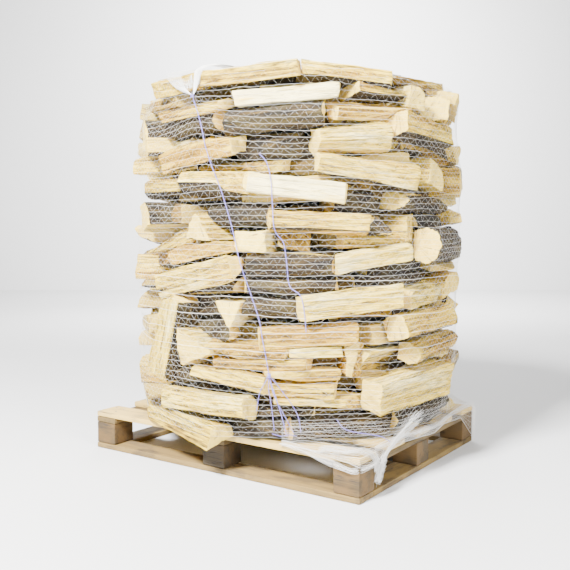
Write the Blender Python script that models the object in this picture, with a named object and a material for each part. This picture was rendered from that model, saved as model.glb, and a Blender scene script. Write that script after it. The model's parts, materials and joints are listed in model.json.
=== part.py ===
"""A pallet of split firewood, held by a knitted net and a tied string.

X runs along the pallet's long side and Y along its short side. Z is up. The origin
is the middle of the pallet's underside, and every length is in metres.

The logs are laid in a round stack. A log's place is given by its bearing, in degrees
to the right of the stack's front as someone who faces it sees it, and by its height.
"""

import math
import random
from dataclasses import dataclass

import bmesh
import bpy
from mathutils import Matrix, Vector

# The gap that touching pieces keep, and the one between logs.
GAP = 0.0004
LOG_GAP = 0.0015
CORE_CUT = 0.0006

# The pallet.
PALLET_LENGTH = 1.200
PALLET_WIDTH = 1.000
BOARD_THICKNESS = 0.022
BLOCK_LENGTH = 0.098
BLOCK_WIDTH = 0.108
BLOCK_HEIGHT = 0.084
CROSS_WIDTH = 0.100
SKID_WIDTH = 0.100
DECK_WIDTH = 0.122
DECK_BOARDS = 5
DECK_TOP = 3 * BOARD_THICKNESS + BLOCK_HEIGHT

# The stack of logs.
STACK_CENTRE = Vector((0.030, 0.020, 0.0))
FRONT_ANGLE = -57.0
CORE_RADIUS = 0.495
CORE_SIDES = 12
STACK_TOP = 1.400
COURSES = 5
LAYERS_PER_COURSE = 3
LOG_LENGTH = 0.330
SMALLEST_SHARE = 0.42
COURSE_INSET = 0.0015
SEED = 33

# The net, a coarse lattice here, and the strings.
NET_SIDES = 14
NET_LEVELS = (0.160, 0.560, 0.960, 1.400)
NET_CLEARANCE = 0.005
NET_STRAND = 0.011
NET_THICKNESS = 0.003
STRING_RADIUS = 0.0015
STRING_CLEARANCE = 0.0035

# A section's corners as shares of half its depth (outwards) and half its rise (upwards).
SECTIONS = {
    "plank": ((1, -1), (1, 1), (-1, 0.9), (-1, -0.9)),
    "split": ((1, -0.85), (1, 0.8), (0.1, 1), (-1, 0.55), (-0.85, -1)),
    "slab": ((1, -0.9), (0.85, 1), (-1, 0.9), (-1, -1)),
    "wedge": ((1, -1), (1, 1), (-1, 0.35), (-1, -0.1)),
    "ramp": ((0.8, -1), (1, 0.8), (-1, 1), (-1, -0.7)),
    "quarter": ((-1, -1), (1, -1), (0.9, -0.1), (0.5, 0.6), (-0.2, 0.95), (-1, 1)),
    "barrel": ((-1, -0.8), (0, -1), (0.7, -0.7), (1, 0), (0.7, 0.7), (0, 1), (-1, 0.8)),
    "boat": ((1, -0.1), (0.9, 0.75), (0, 1), (-1, 0.8), (-1, -0.5), (-0.2, -1), (0.6, -0.75)),
    "roof": ((1, -1), (0.12, 1), (-0.12, 1), (-1, -1)),
    "keel": ((1, 1), (-1, 1), (-0.2, -1), (0.2, -1)),
    "prow": ((1, -0.1), (1, 0.1), (-0.9, 1), (-0.9, -1)),
    "overhang": ((1, -1), (1, 0.9), (-0.2, 1), (-1, 0.6), (-1, -0.2)),
}


@dataclass(frozen=True)
class LogSize:
    """One log: its place on the stack, its size and how it is turned."""

    name: str
    bearing: float
    height: float
    reach: float
    length: float
    depth: float
    rise: float
    turn: float = 0.0
    tilt: float = 0.0
    section: str = "split"
    taper: float = 1.0
    roll: float = 0.0


# The logs that stand out on the side that the photograph shows.
FRONT_LOGS = (
    LogSize("white_plank_top", -4.5, 1.345, 0.602, 0.360, 0.060, 0.054, 0, 4.5, "plank", roll=3),
    LogSize("white_plank_middle", -1.5, 1.030, 0.604, 0.350, 0.065, 0.072, 0, -7.5, "plank", roll=-3),
    LogSize("grooved_bark_log", -9, 1.268, 0.598, 0.345, 0.095, 0.092, 0, 4.5, "barrel"),
    LogSize("triangular_log", 24, 1.095, 0.603, 0.385, 0.090, 0.100, 0, -7, "split", 1.4, roll=8),
    LogSize("rounded_log_right", 19, 1.203, 0.598, 0.270, 0.100, 0.108, 0, 3, "barrel", roll=10),
    LogSize("shoulder_log_right", 51, 1.237, 0.612, 0.340, 0.090, 0.085, 0, -5, "split", roll=-14),
    LogSize("end_block_right_top", 46, 1.350, 0.615, 0.300, 0.085, 0.085, 78, 0, "quarter", roll=12),
    LogSize("corner_block_right_top", 68, 1.318, 0.640, 0.320, 0.105, 0.100, 16, -3, "split", roll=12),
    LogSize("ridge_log_left", -17, 1.425, 0.600, 0.360, 0.085, 0.064, 0, 3, "split", roll=14),
    LogSize("ridge_log_right", 14, 1.415, 0.592, 0.360, 0.085, 0.060, 0, -5, "split", roll=-10),
    LogSize("quarter_log_left", -63, 1.235, 0.645, 0.330, 0.125, 0.115, 80, 0, "quarter", roll=20),
    LogSize("long_log_left", -38, 1.165, 0.604, 0.350, 0.095, 0.085, 0, 9, "split", roll=16),
    LogSize("lens_log_left", -30, 1.052, 0.606, 0.300, 0.105, 0.090, 0, -2, "boat", roll=-6),
    LogSize("large_end_left", -63, 0.945, 0.650, 0.330, 0.140, 0.115, 85, 0, "quarter", roll=-14),
    LogSize("roof_log_left", -36, 0.900, 0.606, 0.330, 0.150, 0.100, 84, 0, "roof"),
    LogSize("pale_end_middle", -15.5, 0.848, 0.604, 0.330, 0.112, 0.076, 88, 0, "plank"),
    LogSize("long_log_middle", 6.5, 0.912, 0.602, 0.350, 0.085, 0.072, 0, -3, "split", roll=-12),
    LogSize("sloping_log_left", -39, 0.725, 0.608, 0.380, 0.100, 0.096, 0, 13, "wedge", roll=10),
    LogSize("grey_bark_log", -3, 0.772, 0.590, 0.300, 0.100, 0.094, 0, 2, "barrel"),
    LogSize("rising_log_right", 22, 0.785, 0.608, 0.370, 0.085, 0.072, 0, 9, "split", roll=6),
    LogSize("knotty_plank", 18, 0.640, 0.608, 0.370, 0.075, 0.090, 0, 5.5, "plank", roll=-4),
    LogSize("bark_slab_right", 65, 0.830, 0.640, 0.320, 0.110, 0.140, 0, 0, "barrel"),
    LogSize("orange_log_middle", 3, 0.530, 0.598, 0.340, 0.090, 0.076, 0, 3, "split", roll=12),
    LogSize("upper_log_right", 51, 0.556, 0.620, 0.360, 0.100, 0.096, 0, 3, "split", roll=-12),
    LogSize("brown_log_right", 58, 0.460, 0.618, 0.360, 0.095, 0.082, 0, 3, "barrel", roll=9),
    LogSize("corner_log_right", 44, 0.328, 0.618, 0.420, 0.095, 0.122, 0, 4, "plank", roll=7),
    LogSize("leaning_log_left", -55, 0.495, 0.618, 0.330, 0.105, 0.128, 0, 68, "split", roll=10),
    LogSize("broad_end_left", -38, 0.460, 0.608, 0.330, 0.190, 0.150, 86, 0, "prow"),
    LogSize("low_log_left", -36, 0.266, 0.606, 0.400, 0.105, 0.086, 0, 2, "split", roll=-9),
    LogSize("overhanging_log", -47, 0.183, 0.606, 0.400, 0.100, 0.092, 0, -6, "overhang", roll=6),
)

# Smaller or half hidden logs on the same side. They are joined into the courses.
BETWEEN_LOGS = (
    LogSize("deck_log", 16, 0.196, 0.560, 0.360, 0.120, 0.088, 0, 0, "barrel"),
    LogSize("dark_log", -5, 1.172, 0.565, 0.350, 0.120, 0.078, 0, 3, "barrel"),
    LogSize("ragged_log", 27, 1.300, 0.586, 0.320, 0.120, 0.062, 0, 1, "split", roll=18),
    LogSize("top_split_log", 33, 1.362, 0.588, 0.300, 0.120, 0.062, 0, -2, "split", roll=-14),
    LogSize("gathered_log", -48, 1.420, 0.602, 0.310, 0.130, 0.074, 0, 0, "split", roll=14),
    LogSize("top_end_left", -66, 1.400, 0.630, 0.300, 0.110, 0.090, 62, 0, "quarter"),
    LogSize("shadow_log_left", -45, 1.265, 0.572, 0.300, 0.120, 0.080, 0, 2, "barrel"),
    LogSize("thin_log_left", -42, 1.315, 0.590, 0.330, 0.120, 0.050, 0, 2, "plank", roll=12),
    LogSize("left_wedge", -72, 1.125, 0.660, 0.300, 0.110, 0.075, 40, 0, "wedge", roll=-16),
    LogSize("brown_wedge_left", -62, 1.045, 0.618, 0.330, 0.120, 0.085, 30, 0, "boat", roll=10),
    LogSize("side_end_right", 76, 1.200, 0.642, 0.330, 0.120, 0.100, 78, 0, "quarter", roll=22),
    LogSize("side_end_low_right", 80, 1.075, 0.652, 0.330, 0.130, 0.120, 84, 0, "split", roll=-18),
    LogSize("round_end_right", 57, 1.085, 0.622, 0.330, 0.110, 0.100, 82, 0, "quarter", roll=16),
    LogSize("shelf_log_right", 55, 0.985, 0.590, 0.330, 0.120, 0.070, 0, -3, "barrel"),
    LogSize("recessed_log_right", 28, 0.985, 0.545, 0.300, 0.120, 0.080, 0, 0, "barrel"),
    LogSize("small_roof_right", 31, 0.905, 0.594, 0.330, 0.110, 0.070, 84, 0, "roof"),
    LogSize("tall_end_right", 46, 0.875, 0.612, 0.330, 0.070, 0.145, 84, 0, "plank"),
    LogSize("knot_end_right", 51, 0.655, 0.612, 0.260, 0.120, 0.082, 8, 2, "split", roll=10),
    LogSize("far_log_right", 76, 0.680, 0.645, 0.330, 0.120, 0.090, 60, 0, "split", roll=-14),
    LogSize("yellow_log_left", -36, 0.823, 0.594, 0.330, 0.120, 0.060, 0, 10, "split", roll=12),
    LogSize("slat_left", -60, 0.830, 0.628, 0.300, 0.120, 0.060, 20, 24, "plank", roll=14),
    LogSize("far_end_left", -82, 0.720, 0.655, 0.330, 0.120, 0.110, 75, 0, "wedge", roll=-20),
    LogSize("white_wedge_left", -24, 0.592, 0.600, 0.330, 0.105, 0.100, 88, 0, "keel"),
    LogSize("grey_log_low", -9, 0.620, 0.582, 0.330, 0.120, 0.078, 0, -2, "barrel"),
    LogSize("grey_log_mid", -3, 0.690, 0.576, 0.320, 0.120, 0.070, 0, 1, "barrel"),
    LogSize("shaded_log_left", -44, 0.610, 0.580, 0.330, 0.120, 0.080, 0, 6, "barrel"),
    LogSize("striped_log", -20, 0.476, 0.590, 0.330, 0.120, 0.058, 0, 2, "split", roll=14),
    LogSize("thin_strip_log", -14, 0.428, 0.586, 0.340, 0.120, 0.044, 0, 1, "plank"),
    LogSize("slope_log", -25, 0.366, 0.602, 0.300, 0.120, 0.070, 0, -8, "split", roll=-12),
    LogSize("post_end", 19, 0.450, 0.594, 0.330, 0.070, 0.150, 88, 0, "plank"),
    LogSize("pale_wedge_right", 32, 0.432, 0.602, 0.260, 0.120, 0.090, 24, 0, "keel", roll=8),
    LogSize("short_pale_log", 7, 0.464, 0.590, 0.220, 0.120, 0.056, 0, 2, "split", roll=-10),
    LogSize("flat_log_low", 5, 0.402, 0.588, 0.340, 0.120, 0.054, 0, 1, "plank", roll=8),
    LogSize("grey_strip_log", -4, 0.345, 0.578, 0.340, 0.120, 0.056, 0, -1, "split", roll=12),
    LogSize("lower_strip_log", 9, 0.300, 0.584, 0.340, 0.120, 0.056, 0, -4, "plank", roll=-9),
    LogSize("mossy_log", -10, 0.245, 0.572, 0.300, 0.120, 0.070, 0, 0, "barrel"),
    LogSize("under_bark_log", 52, 0.232, 0.596, 0.400, 0.120, 0.090, 0, 2, "barrel"),
    LogSize("far_low_left", -78, 0.330, 0.645, 0.330, 0.120, 0.100, 70, 0, "split", roll=18),
)

# The strings: bearing and height of the points that each passes, from its upper end.
TIE_ROUTE = (
    (-37.0, 1.345), (-33.5, 1.240), (-30.0, 1.120), (-26.0, 1.015), (-21.0, 0.855),
    (-19.0, 0.785), (-15.5, 0.665), (-12.0, 0.550), (-9.5, 0.395), (-6.5, 0.290), (-4.0, 0.180),
)
LOOSE_ROUTE = (
    (-13.5, 1.150), (-10.5, 1.115), (-9.0, 1.050), (-8.5, 0.975), (-7.5, 0.885),
    (-5.0, 0.845), (-4.0, 0.775), (-3.0, 0.700), (0.7, 0.660), (2.2, 0.545),
)
STRING_STEPS = 16

# Base colour and roughness of each material.
FINISHES = {
    "fresh_wood": ((0.78, 0.64, 0.42), 0.75),
    "white_wood": ((0.88, 0.80, 0.66), 0.70),
    "bark": ((0.36, 0.28, 0.19), 0.90),
    "stacked_wood": ((0.66, 0.52, 0.33), 0.80),
    "deck_board": ((0.62, 0.50, 0.32), 0.85),
    "pallet_board": ((0.45, 0.38, 0.29), 0.90),
    "pallet_block": ((0.33, 0.27, 0.20), 0.92),
    "net_yarn": ((0.90, 0.90, 0.88), 0.60),
    "violet_string": ((0.50, 0.44, 0.72), 0.55),
}
BARK_SECTIONS = ("barrel",)
WHITE_LOGS = ("white_plank_top", "white_plank_middle", "knotty_plank", "pale_end_middle")


def clear_scene():
    """Remove every object that the file opened with."""
    for item in list(bpy.data.objects):
        bpy.data.objects.remove(item, do_unlink=True)


def make_material(name):
    """Return the material of this name, with its colour and roughness."""
    colour, roughness = FINISHES[name]
    material = bpy.data.materials.new(name)
    material.use_nodes = True
    shader = material.node_tree.nodes["Principled BSDF"]
    shader.inputs["Base Color"].default_value = (*colour, 1.0)
    shader.inputs["Roughness"].default_value = roughness
    shader.inputs["Metallic"].default_value = 0.0
    material.diffuse_color = (*colour, 1.0)
    return material


def add_object(name, data, material):
    """Link a new object that carries this mesh or curve and this material."""
    item = bpy.data.objects.new(name, data)
    item.data.materials.append(material)
    bpy.context.scene.collection.objects.link(item)
    return item


def mesh_from(name, shape):
    """Turn a bmesh into a mesh, with its faces looking outwards."""
    bmesh.ops.recalc_face_normals(shape, faces=shape.faces)
    mesh = bpy.data.meshes.new(name)
    shape.to_mesh(mesh)
    return mesh


def add_box(name, low, high, material):
    """Add a board or a block between two corners, with its origin at its middle."""
    low, high = Vector(low), Vector(high)
    shape = bmesh.new()
    bmesh.ops.create_cube(shape, size=1.0)
    bmesh.ops.scale(shape, vec=high - low, verts=shape.verts)
    mesh = mesh_from(name, shape)
    shape.free()
    item = add_object(name, mesh, material)
    item.location = (low + high) / 2
    return item


def across(middle, width):
    """Return the two edges of a board of this width about its middle line."""
    return middle - width / 2, middle + width / 2


def build_pallet(materials):
    """Add the bottom boards, blocks, cross boards and deck boards."""
    half_length, half_width = PALLET_LENGTH / 2, PALLET_WIDTH / 2
    side_y = half_width - SKID_WIDTH / 2
    end_x = half_length - CROSS_WIDTH / 2
    board, block = materials["pallet_board"], materials["pallet_block"]

    for name, middle in (("front", -side_y), ("back", side_y)):
        low, high = across(middle, SKID_WIDTH)
        add_box(f"bottom_board_{name}", (-half_length, low, 0), (half_length, high, BOARD_THICKNESS), board)
    inner_y = half_width - SKID_WIDTH - GAP
    for name, middle in (("left", -end_x), ("right", end_x)):
        low, high = across(middle, CROSS_WIDTH)
        add_box(f"bottom_board_{name}", (low, -inner_y, 0), (high, inner_y, BOARD_THICKNESS), board)
    inner_x = half_length - CROSS_WIDTH - GAP
    low, high = across(0, SKID_WIDTH)
    add_box("bottom_board_middle", (-inner_x, low, 0), (inner_x, high, BOARD_THICKNESS), board)

    block_low = BOARD_THICKNESS + GAP
    block_high = BOARD_THICKNESS + BLOCK_HEIGHT
    rows = (("front", -half_width + BLOCK_WIDTH / 2), ("middle", 0.0), ("back", half_width - BLOCK_WIDTH / 2))
    columns = (("left", -end_x), ("middle", 0.0), ("right", end_x))
    for row, y in rows:
        for column, x in columns:
            x_low, x_high = across(x, BLOCK_LENGTH)
            y_low, y_high = across(y, BLOCK_WIDTH)
            add_box(f"block_{row}_{column}", (x_low, y_low, block_low), (x_high, y_high, block_high), block)

    cross_low, cross_high = block_high + GAP, block_high + BOARD_THICKNESS
    for column, x in columns:
        low, high = across(x, CROSS_WIDTH)
        add_box(f"cross_board_{column}", (low, -half_width, cross_low), (high, half_width, cross_high), board)

    pitch = (PALLET_WIDTH - DECK_WIDTH) / (DECK_BOARDS - 1)
    for index in range(DECK_BOARDS):
        low = -half_width + index * pitch
        add_box(f"deck_board_{index + 1}", (-half_length, low, cross_high + GAP),
                (half_length, low + DECK_WIDTH, DECK_TOP), materials["deck_board"])


def direction(bearing):
    """Return the unit vector that points out of the stack at this bearing."""
    angle = math.radians(FRONT_ANGLE + bearing)
    return Vector((math.cos(angle), math.sin(angle), 0.0))


def log_matrix(size):
    """Return a log's own axes (along, outwards, upwards) and its place as a matrix."""
    outward = direction(size.bearing)
    turn = math.radians(size.turn)
    beyond = abs(math.sin(turn)) * size.length / 2 + abs(math.cos(turn)) * size.depth / 2
    centre = STACK_CENTRE + outward * (size.reach - beyond) + Vector((0, 0, size.height))
    facing = Matrix.Rotation(math.radians(FRONT_ANGLE + size.bearing + 90), 4, "Z")
    tilt = Matrix.Rotation(math.radians(-size.tilt), 4, "Y")
    roll = Matrix.Rotation(math.radians(size.roll), 4, "X")
    return Matrix.Translation(centre) @ facing @ Matrix.Rotation(turn, 4, "Z") @ tilt @ roll


def log_shape(size, growth=0.0):
    """Return a log as a bmesh: its section, run from its left end to its right end."""
    shape = bmesh.new()
    half = size.length / 2 + growth
    scale_left, scale_right = (1.0, size.taper) if size.taper <= 1.0 else (1.0 / size.taper, 1.0)
    corners = [shape.verts.new((
        -half,
        -(size.depth / 2 + growth) * out * scale_left,
        (size.rise / 2 + growth) * up * scale_left,
    )) for out, up in SECTIONS[size.section]]
    end = shape.faces.new(corners)
    moved = bmesh.ops.extrude_face_region(shape, geom=[end])["geom"]
    far = [item for item in moved if isinstance(item, bmesh.types.BMVert)]
    bmesh.ops.scale(shape, vec=(1, scale_right / scale_left, scale_right / scale_left), verts=far)
    bmesh.ops.translate(shape, vec=(2 * half, 0, 0), verts=far)
    bmesh.ops.recalc_face_normals(shape, faces=shape.faces)
    bmesh.ops.transform(shape, matrix=log_matrix(size), verts=shape.verts)
    shape.normal_update()
    return shape


def cut(shape, point, normal):
    """Take away what lies behind a plane and close the cut."""
    geometry = list(shape.verts) + list(shape.edges) + list(shape.faces)
    bmesh.ops.bisect_plane(shape, geom=geometry, dist=1e-6, plane_co=point, plane_no=normal, clear_inner=True)
    rim = [edge for edge in shape.edges if edge.is_boundary]
    if rim:
        bmesh.ops.holes_fill(shape, edges=rim, sides=0)
    bmesh.ops.remove_doubles(shape, verts=shape.verts, dist=2e-5)
    bmesh.ops.recalc_face_normals(shape, faces=shape.faces)
    shape.normal_update()


def volume_left(shape, point, normal):
    """Return how much of a shape is left in front of a plane."""
    trial = shape.copy()
    cut(trial, point, normal)
    volume = abs(trial.calc_volume()) if trial.faces else 0.0
    trial.free()
    return volume


def trim(shape, other):
    """Cut a log back by the face of another that takes the least of it."""
    for face in shape.faces:
        start = face.verts[0].co
        if min(face.normal.dot(vert.co - start) for vert in other.verts) >= LOG_GAP:
            return
    planes = []
    for face in other.faces:
        start = face.verts[0].co + face.normal * LOG_GAP
        if max(face.normal.dot(start - vert.co) for vert in shape.verts) <= 0:
            return
        planes.append((start, face.normal.copy()))
    cut(shape, *max(planes, key=lambda plane: volume_left(shape, *plane)))


def near(shape, other):
    """Say whether the boxes of two shapes meet."""
    for axis in range(3):
        ours = [vert.co[axis] for vert in shape.verts]
        theirs = [vert.co[axis] for vert in other.verts]
        if min(ours) > max(theirs) + GAP or min(theirs) > max(ours) + GAP:
            return False
    return True


def trimmed_log(size, others, low, high):
    """Return a log between two heights, clear of the others, or None where too little is left."""
    shape = log_shape(size)
    whole = shape.calc_volume()
    cut(shape, (0, 0, low), (0, 0, 1))
    cut(shape, (0, 0, high), (0, 0, -1))
    for other in others:
        if not shape.faces:
            break
        if near(shape, other):
            trim(shape, other)
    if not shape.faces or abs(shape.calc_volume()) < SMALLEST_SHARE * abs(whole):
        shape.free()
        return None
    return shape


def random_ring_logs(rng, height, rise):
    """Lay one layer of logs round the stack, most of them along its side."""
    logs = []
    bearing = rng.uniform(0, 30)
    end = bearing + 360
    while bearing < end - 10:
        radial = rng.random() < 0.3
        width = rng.uniform(0.09, 0.12) if radial else LOG_LENGTH * rng.uniform(0.92, 1.04)
        step = math.degrees(width / 0.57)
        middle = bearing + step / 2
        facing_front = abs((middle + 180) % 360 - 180) < 70
        reach = rng.uniform(0.622, 0.650) - (0.067 if facing_front else 0.0)
        section = rng.choice(("slab", "slab", "wedge", "ramp", "plank"))
        depth = width if radial else rng.uniform(0.118, 0.135) + (0 if facing_front else 0.045)
        length = LOG_LENGTH if radial else width
        turn = rng.uniform(78, 96) if radial else rng.uniform(-7, 7)
        tilt = rng.uniform(-2, 2) if radial else rng.uniform(-7, 7)
        size = LogSize("ring", middle, height, reach, length, depth, rise * rng.uniform(0.9, 1.08),
                       turn, tilt, section, roll=12 * math.sin(7 * middle))
        logs.append(size)
        bearing += step
    return logs


def random_top_logs(rng):
    """Lay the loose logs that crown the stack."""
    logs = []
    for radius, count in ((0.09, 2), (0.24, 4), (0.385, 7), (0.52, 9)):
        offset = rng.uniform(0, 360)
        for index in range(count):
            bearing = offset + index * 360 / count
            turn = rng.uniform(-14, 14)
            depth = rng.uniform(0.125, 0.150)
            size = LogSize("crown", bearing, STACK_TOP + 0.018 - 0.02 * (radius > 0.4), radius + depth / 2,
                           LOG_LENGTH * 0.95, depth, rng.uniform(0.070, 0.085), turn, rng.uniform(-3, 3),
                           rng.choice(("slab", "ramp")))
            logs.append(size)
    return logs


def front_log_shapes():
    """Return the front logs as shapes, each clear of those before it."""
    shapes = {}
    for size in FRONT_LOGS:
        low = DECK_TOP + GAP if size.section != "overhang" else 0.0
        shapes[size.name] = trimmed_log(size, shapes.values(), low, 10.0)
    return shapes


def core_shape(low, high):
    """Return the inner logs of a course as one prism."""
    shape = bmesh.new()
    place = Matrix.Translation(STACK_CENTRE + Vector((0, 0, (low + high) / 2)))
    bmesh.ops.create_cone(shape, cap_ends=True, segments=CORE_SIDES, radius1=CORE_RADIUS,
                          radius2=CORE_RADIUS, depth=high - low, matrix=place)
    return shape


def boolean(item, operand_shape, operation):
    """Join a shape to an object, or take it away, and keep only the result."""
    mesh = mesh_from("operand", operand_shape)
    operand = bpy.data.objects.new("operand", mesh)
    operand.hide_render = True
    operand.display_type = "WIRE"
    bpy.context.scene.collection.objects.link(operand)
    modifier = item.modifiers.new("join", "BOOLEAN")
    modifier.operation = operation
    modifier.solver = "EXACT"
    modifier.object = operand
    graph = bpy.context.evaluated_depsgraph_get()
    result = bpy.data.meshes.new_from_object(item.evaluated_get(graph))
    result.name = item.name
    item.modifiers.clear()
    item.data = result
    bpy.data.objects.remove(operand, do_unlink=True)
    bpy.data.meshes.remove(mesh)


def keep_largest(item):
    """Keep only the largest of the closed bodies in an object's mesh."""
    shape = bmesh.new()
    shape.from_mesh(item.data)
    unseen = set(shape.verts)
    bodies = []
    while unseen:
        body, edge = set(), [unseen.pop()]
        while edge:
            vert = edge.pop()
            body.add(vert)
            for link in vert.link_edges:
                other = link.other_vert(vert)
                if other in unseen:
                    unseen.discard(other)
                    edge.append(other)
        bodies.append(body)
    bodies.sort(key=len, reverse=True)
    for body in bodies[1:]:
        bmesh.ops.delete(shape, geom=list(body), context="VERTS")
    bmesh.ops.recalc_face_normals(shape, faces=shape.faces)
    shape.to_mesh(item.data)
    shape.free()


def build_logs(materials):
    """Add the front logs, then the courses, each of which joins the logs round it."""
    front = front_log_shapes()
    for size in FRONT_LOGS:
        finish = "bark" if size.section in BARK_SECTIONS else "fresh_wood"
        finish = "white_wood" if size.name in WHITE_LOGS else finish
        add_object(size.name, mesh_from(size.name, front[size.name]), materials[finish])

    rng = random.Random(SEED)
    course_height = (STACK_TOP - DECK_TOP) / COURSES
    layer_height = course_height / LAYERS_PER_COURSE
    for course in range(COURSES):
        low = DECK_TOP + course * course_height + GAP
        high = DECK_TOP + (course + 1) * course_height
        sizes = [size for size in BETWEEN_LOGS if low <= size.height < high]
        for layer in range(LAYERS_PER_COURSE):
            middle = low + (layer + 0.5) * layer_height
            sizes += random_ring_logs(rng, middle, layer_height * 0.98)
        reach_up = high
        if course == COURSES - 1:
            sizes += random_top_logs(rng)
            reach_up = high + LOG_LENGTH
        build_course(course, sizes, low, high, reach_up, front, materials["stacked_wood"])
    for shape in front.values():
        shape.free()


def build_course(course, sizes, low, high, reach_up, front, material):
    """Add one course: its inner logs as a prism, with the logs round it joined on."""
    name = f"log_course_{course + 1}"
    item = add_object(name, mesh_from(name, core_shape(low, high)), material)
    for size in FRONT_LOGS:
        if low - size.length < size.height < high + size.length:
            grown = log_shape(size, growth=CORE_CUT)
            boolean(item, grown, "DIFFERENCE")
            grown.free()
    laid = []
    for index, size in enumerate(sizes):
        inset = COURSE_INSET * (1 + 2 * index / len(sizes))
        shape = trimmed_log(size, [*front.values(), *laid], low + inset, reach_up - inset)
        if shape is not None:
            laid.append(shape)
    for shape in laid:
        boolean(item, shape, "UNION")
        shape.free()
    keep_largest(item)


def log_points():
    """Return the corners of every log and course."""
    names = [size.name for size in FRONT_LOGS] + [f"log_course_{index + 1}" for index in range(COURSES)]
    return [vert.co.copy() for name in names for vert in bpy.data.objects[name].data.vertices]


class Net:
    """The hull of the stack, as the reach of each of its sides at each level."""

    def __init__(self, points):
        """Measure the reach of the points towards each side at each level."""
        self.top = max(point.z for point in points) + NET_CLEARANCE
        self.levels = [*NET_LEVELS, self.top]
        self.angles = [2 * math.pi * index / NET_SIDES for index in range(NET_SIDES)]
        self.reach = []
        for index, _ in enumerate(NET_LEVELS):
            low = self.levels[max(index - 1, 0)] - 0.10
            high = self.levels[index + 1] + 0.10
            band = [point - STACK_CENTRE for point in points if low <= point.z <= high]
            row = []
            for angle in self.angles:
                outward = Vector((math.cos(angle), math.sin(angle), 0))
                row.append(max(outward.dot(point) for point in band) + NET_CLEARANCE)
            self.reach.append(row)
        self.reach.append([self.shoulder_reach(points, side) for side in range(NET_SIDES)])

    def shoulder_reach(self, points, side):
        """Return how far the top's rim may be drawn in on one side and still clear the logs."""
        outward = Vector((math.cos(self.angles[side]), math.sin(self.angles[side]), 0))
        start, reach = self.levels[-2], self.reach[-1][side]
        found = [0.5]
        for point in points:
            rise = (point.z - start) / (self.top - start)
            if rise > 0.05:
                beyond = outward.dot(point - STACK_CENTRE) + NET_CLEARANCE - reach
                found.append(reach + beyond / rise)
        return max(found)

    def corner(self, level, side, share=1.0):
        """Return the corner between a side and the next at this level."""
        first, second = self.angles[side], self.angles[(side + 1) % NET_SIDES]
        near_reach, far_reach = self.reach[level][side], self.reach[level][(side + 1) % NET_SIDES]
        swing = math.sin(second - first)
        x = (near_reach * math.sin(second) - far_reach * math.sin(first)) / swing
        y = (far_reach * math.cos(first) - near_reach * math.cos(second)) / swing
        return STACK_CENTRE + Vector((x * share, y * share, self.levels[level]))

    def surface(self, bearing, height):
        """Return how far the net is from the stack's middle line at a bearing and height."""
        angle = math.radians(FRONT_ANGLE + bearing)
        level = max(index for index, z in enumerate(self.levels[:-1]) if z <= max(height, self.levels[0]))
        span = self.levels[level + 1] - self.levels[level]
        share = (height - self.levels[level]) / span
        found = []
        for side, facing in enumerate(self.angles):
            toward = math.cos(angle - facing)
            if toward > 0.3:
                reach = self.reach[level][side] * (1 - share) + self.reach[level + 1][side] * share
                found.append(reach / toward)
        return min(found)


def build_net(net, material):
    """Add the net as one lattice: its cells are inset and opened, then it gets its thickness."""
    shape = bmesh.new()
    rows = [[shape.verts.new(net.corner(level, side)) for side in range(NET_SIDES)]
            for level in range(len(net.levels))]
    last = len(net.levels) - 1
    rows.append([shape.verts.new(net.corner(last, side, 0.45)) for side in range(NET_SIDES)])
    for lower, upper in zip(rows, rows[1:]):
        for side in range(NET_SIDES):
            following = (side + 1) % NET_SIDES
            shape.faces.new((lower[side], lower[following], upper[following], upper[side]))
    shape.faces.new(rows[-1])
    shape.normal_update()
    cells = list(shape.faces)
    bmesh.ops.inset_individual(shape, faces=cells, thickness=NET_STRAND / 2)
    bmesh.ops.delete(shape, geom=cells, context="FACES")
    mesh = mesh_from("net", shape)
    shape.free()
    item = add_object("net", mesh, material)
    solid = item.modifiers.new("thickness", "SOLIDIFY")
    solid.thickness = NET_THICKNESS
    solid.offset = 1.0
    return item


def smooth_route(points, steps):
    """Return evenly spread points on one smooth curve through the given ones."""
    route = []
    last = len(points) - 1
    for index in range(steps + 1):
        place = index / steps * last
        start = min(int(place), last - 1)
        share = place - start
        before, first = points[max(start - 1, 0)], points[start]
        second, after = points[start + 1], points[min(start + 2, last)]
        a = 2 * first
        b = (second - before) * share
        c = (2 * before - 5 * first + 4 * second - after) * share ** 2
        d = (3 * first - before - 3 * second + after) * share ** 3
        route.append((a + b + c + d) / 2)
    return route


def build_string(name, route, net, material):
    """Add a string that lies on the net, as a tube along its route."""
    standoff = NET_THICKNESS + STRING_RADIUS + STRING_CLEARANCE
    marks = [STACK_CENTRE + direction(bearing) * (net.surface(bearing, height) + standoff)
             + Vector((0, 0, height)) for bearing, height in route]
    curve = bpy.data.curves.new(name, "CURVE")
    curve.dimensions = "3D"
    curve.bevel_depth = STRING_RADIUS
    curve.bevel_resolution = 2
    curve.use_fill_caps = True
    spline = curve.splines.new("POLY")
    points = smooth_route(marks, STRING_STEPS)
    spline.points.add(len(points) - 1)
    for target, point in zip(spline.points, points):
        target.co = (*point, 1.0)
    return add_object(name, curve, material)


def main():
    """Build the pallet, its logs, the net and the strings."""
    clear_scene()
    materials = {name: make_material(name) for name in FINISHES}
    build_pallet(materials)
    build_logs(materials)
    net = Net(log_points())
    build_net(net, materials["net_yarn"])
    build_string("tie_string", TIE_ROUTE, net, materials["violet_string"])
    build_string("loose_string", LOOSE_ROUTE, net, materials["violet_string"])


main()
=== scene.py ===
"""The looks of a pallet of split firewood, held by a knitted net and tied with string.

The logs are laid as in the part's source: each is given by its bearing round the stack,
in degrees to the right of the side that the photograph shows, and by its height.
"""

import json
import logging
import math
import random
from dataclasses import dataclass, field
from enum import Enum
from typing import Any, Iterable

import bmesh
import bpy
import numpy as np
from mathutils import Matrix, Vector, noise
from mathutils.bvhtree import BVHTree


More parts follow.
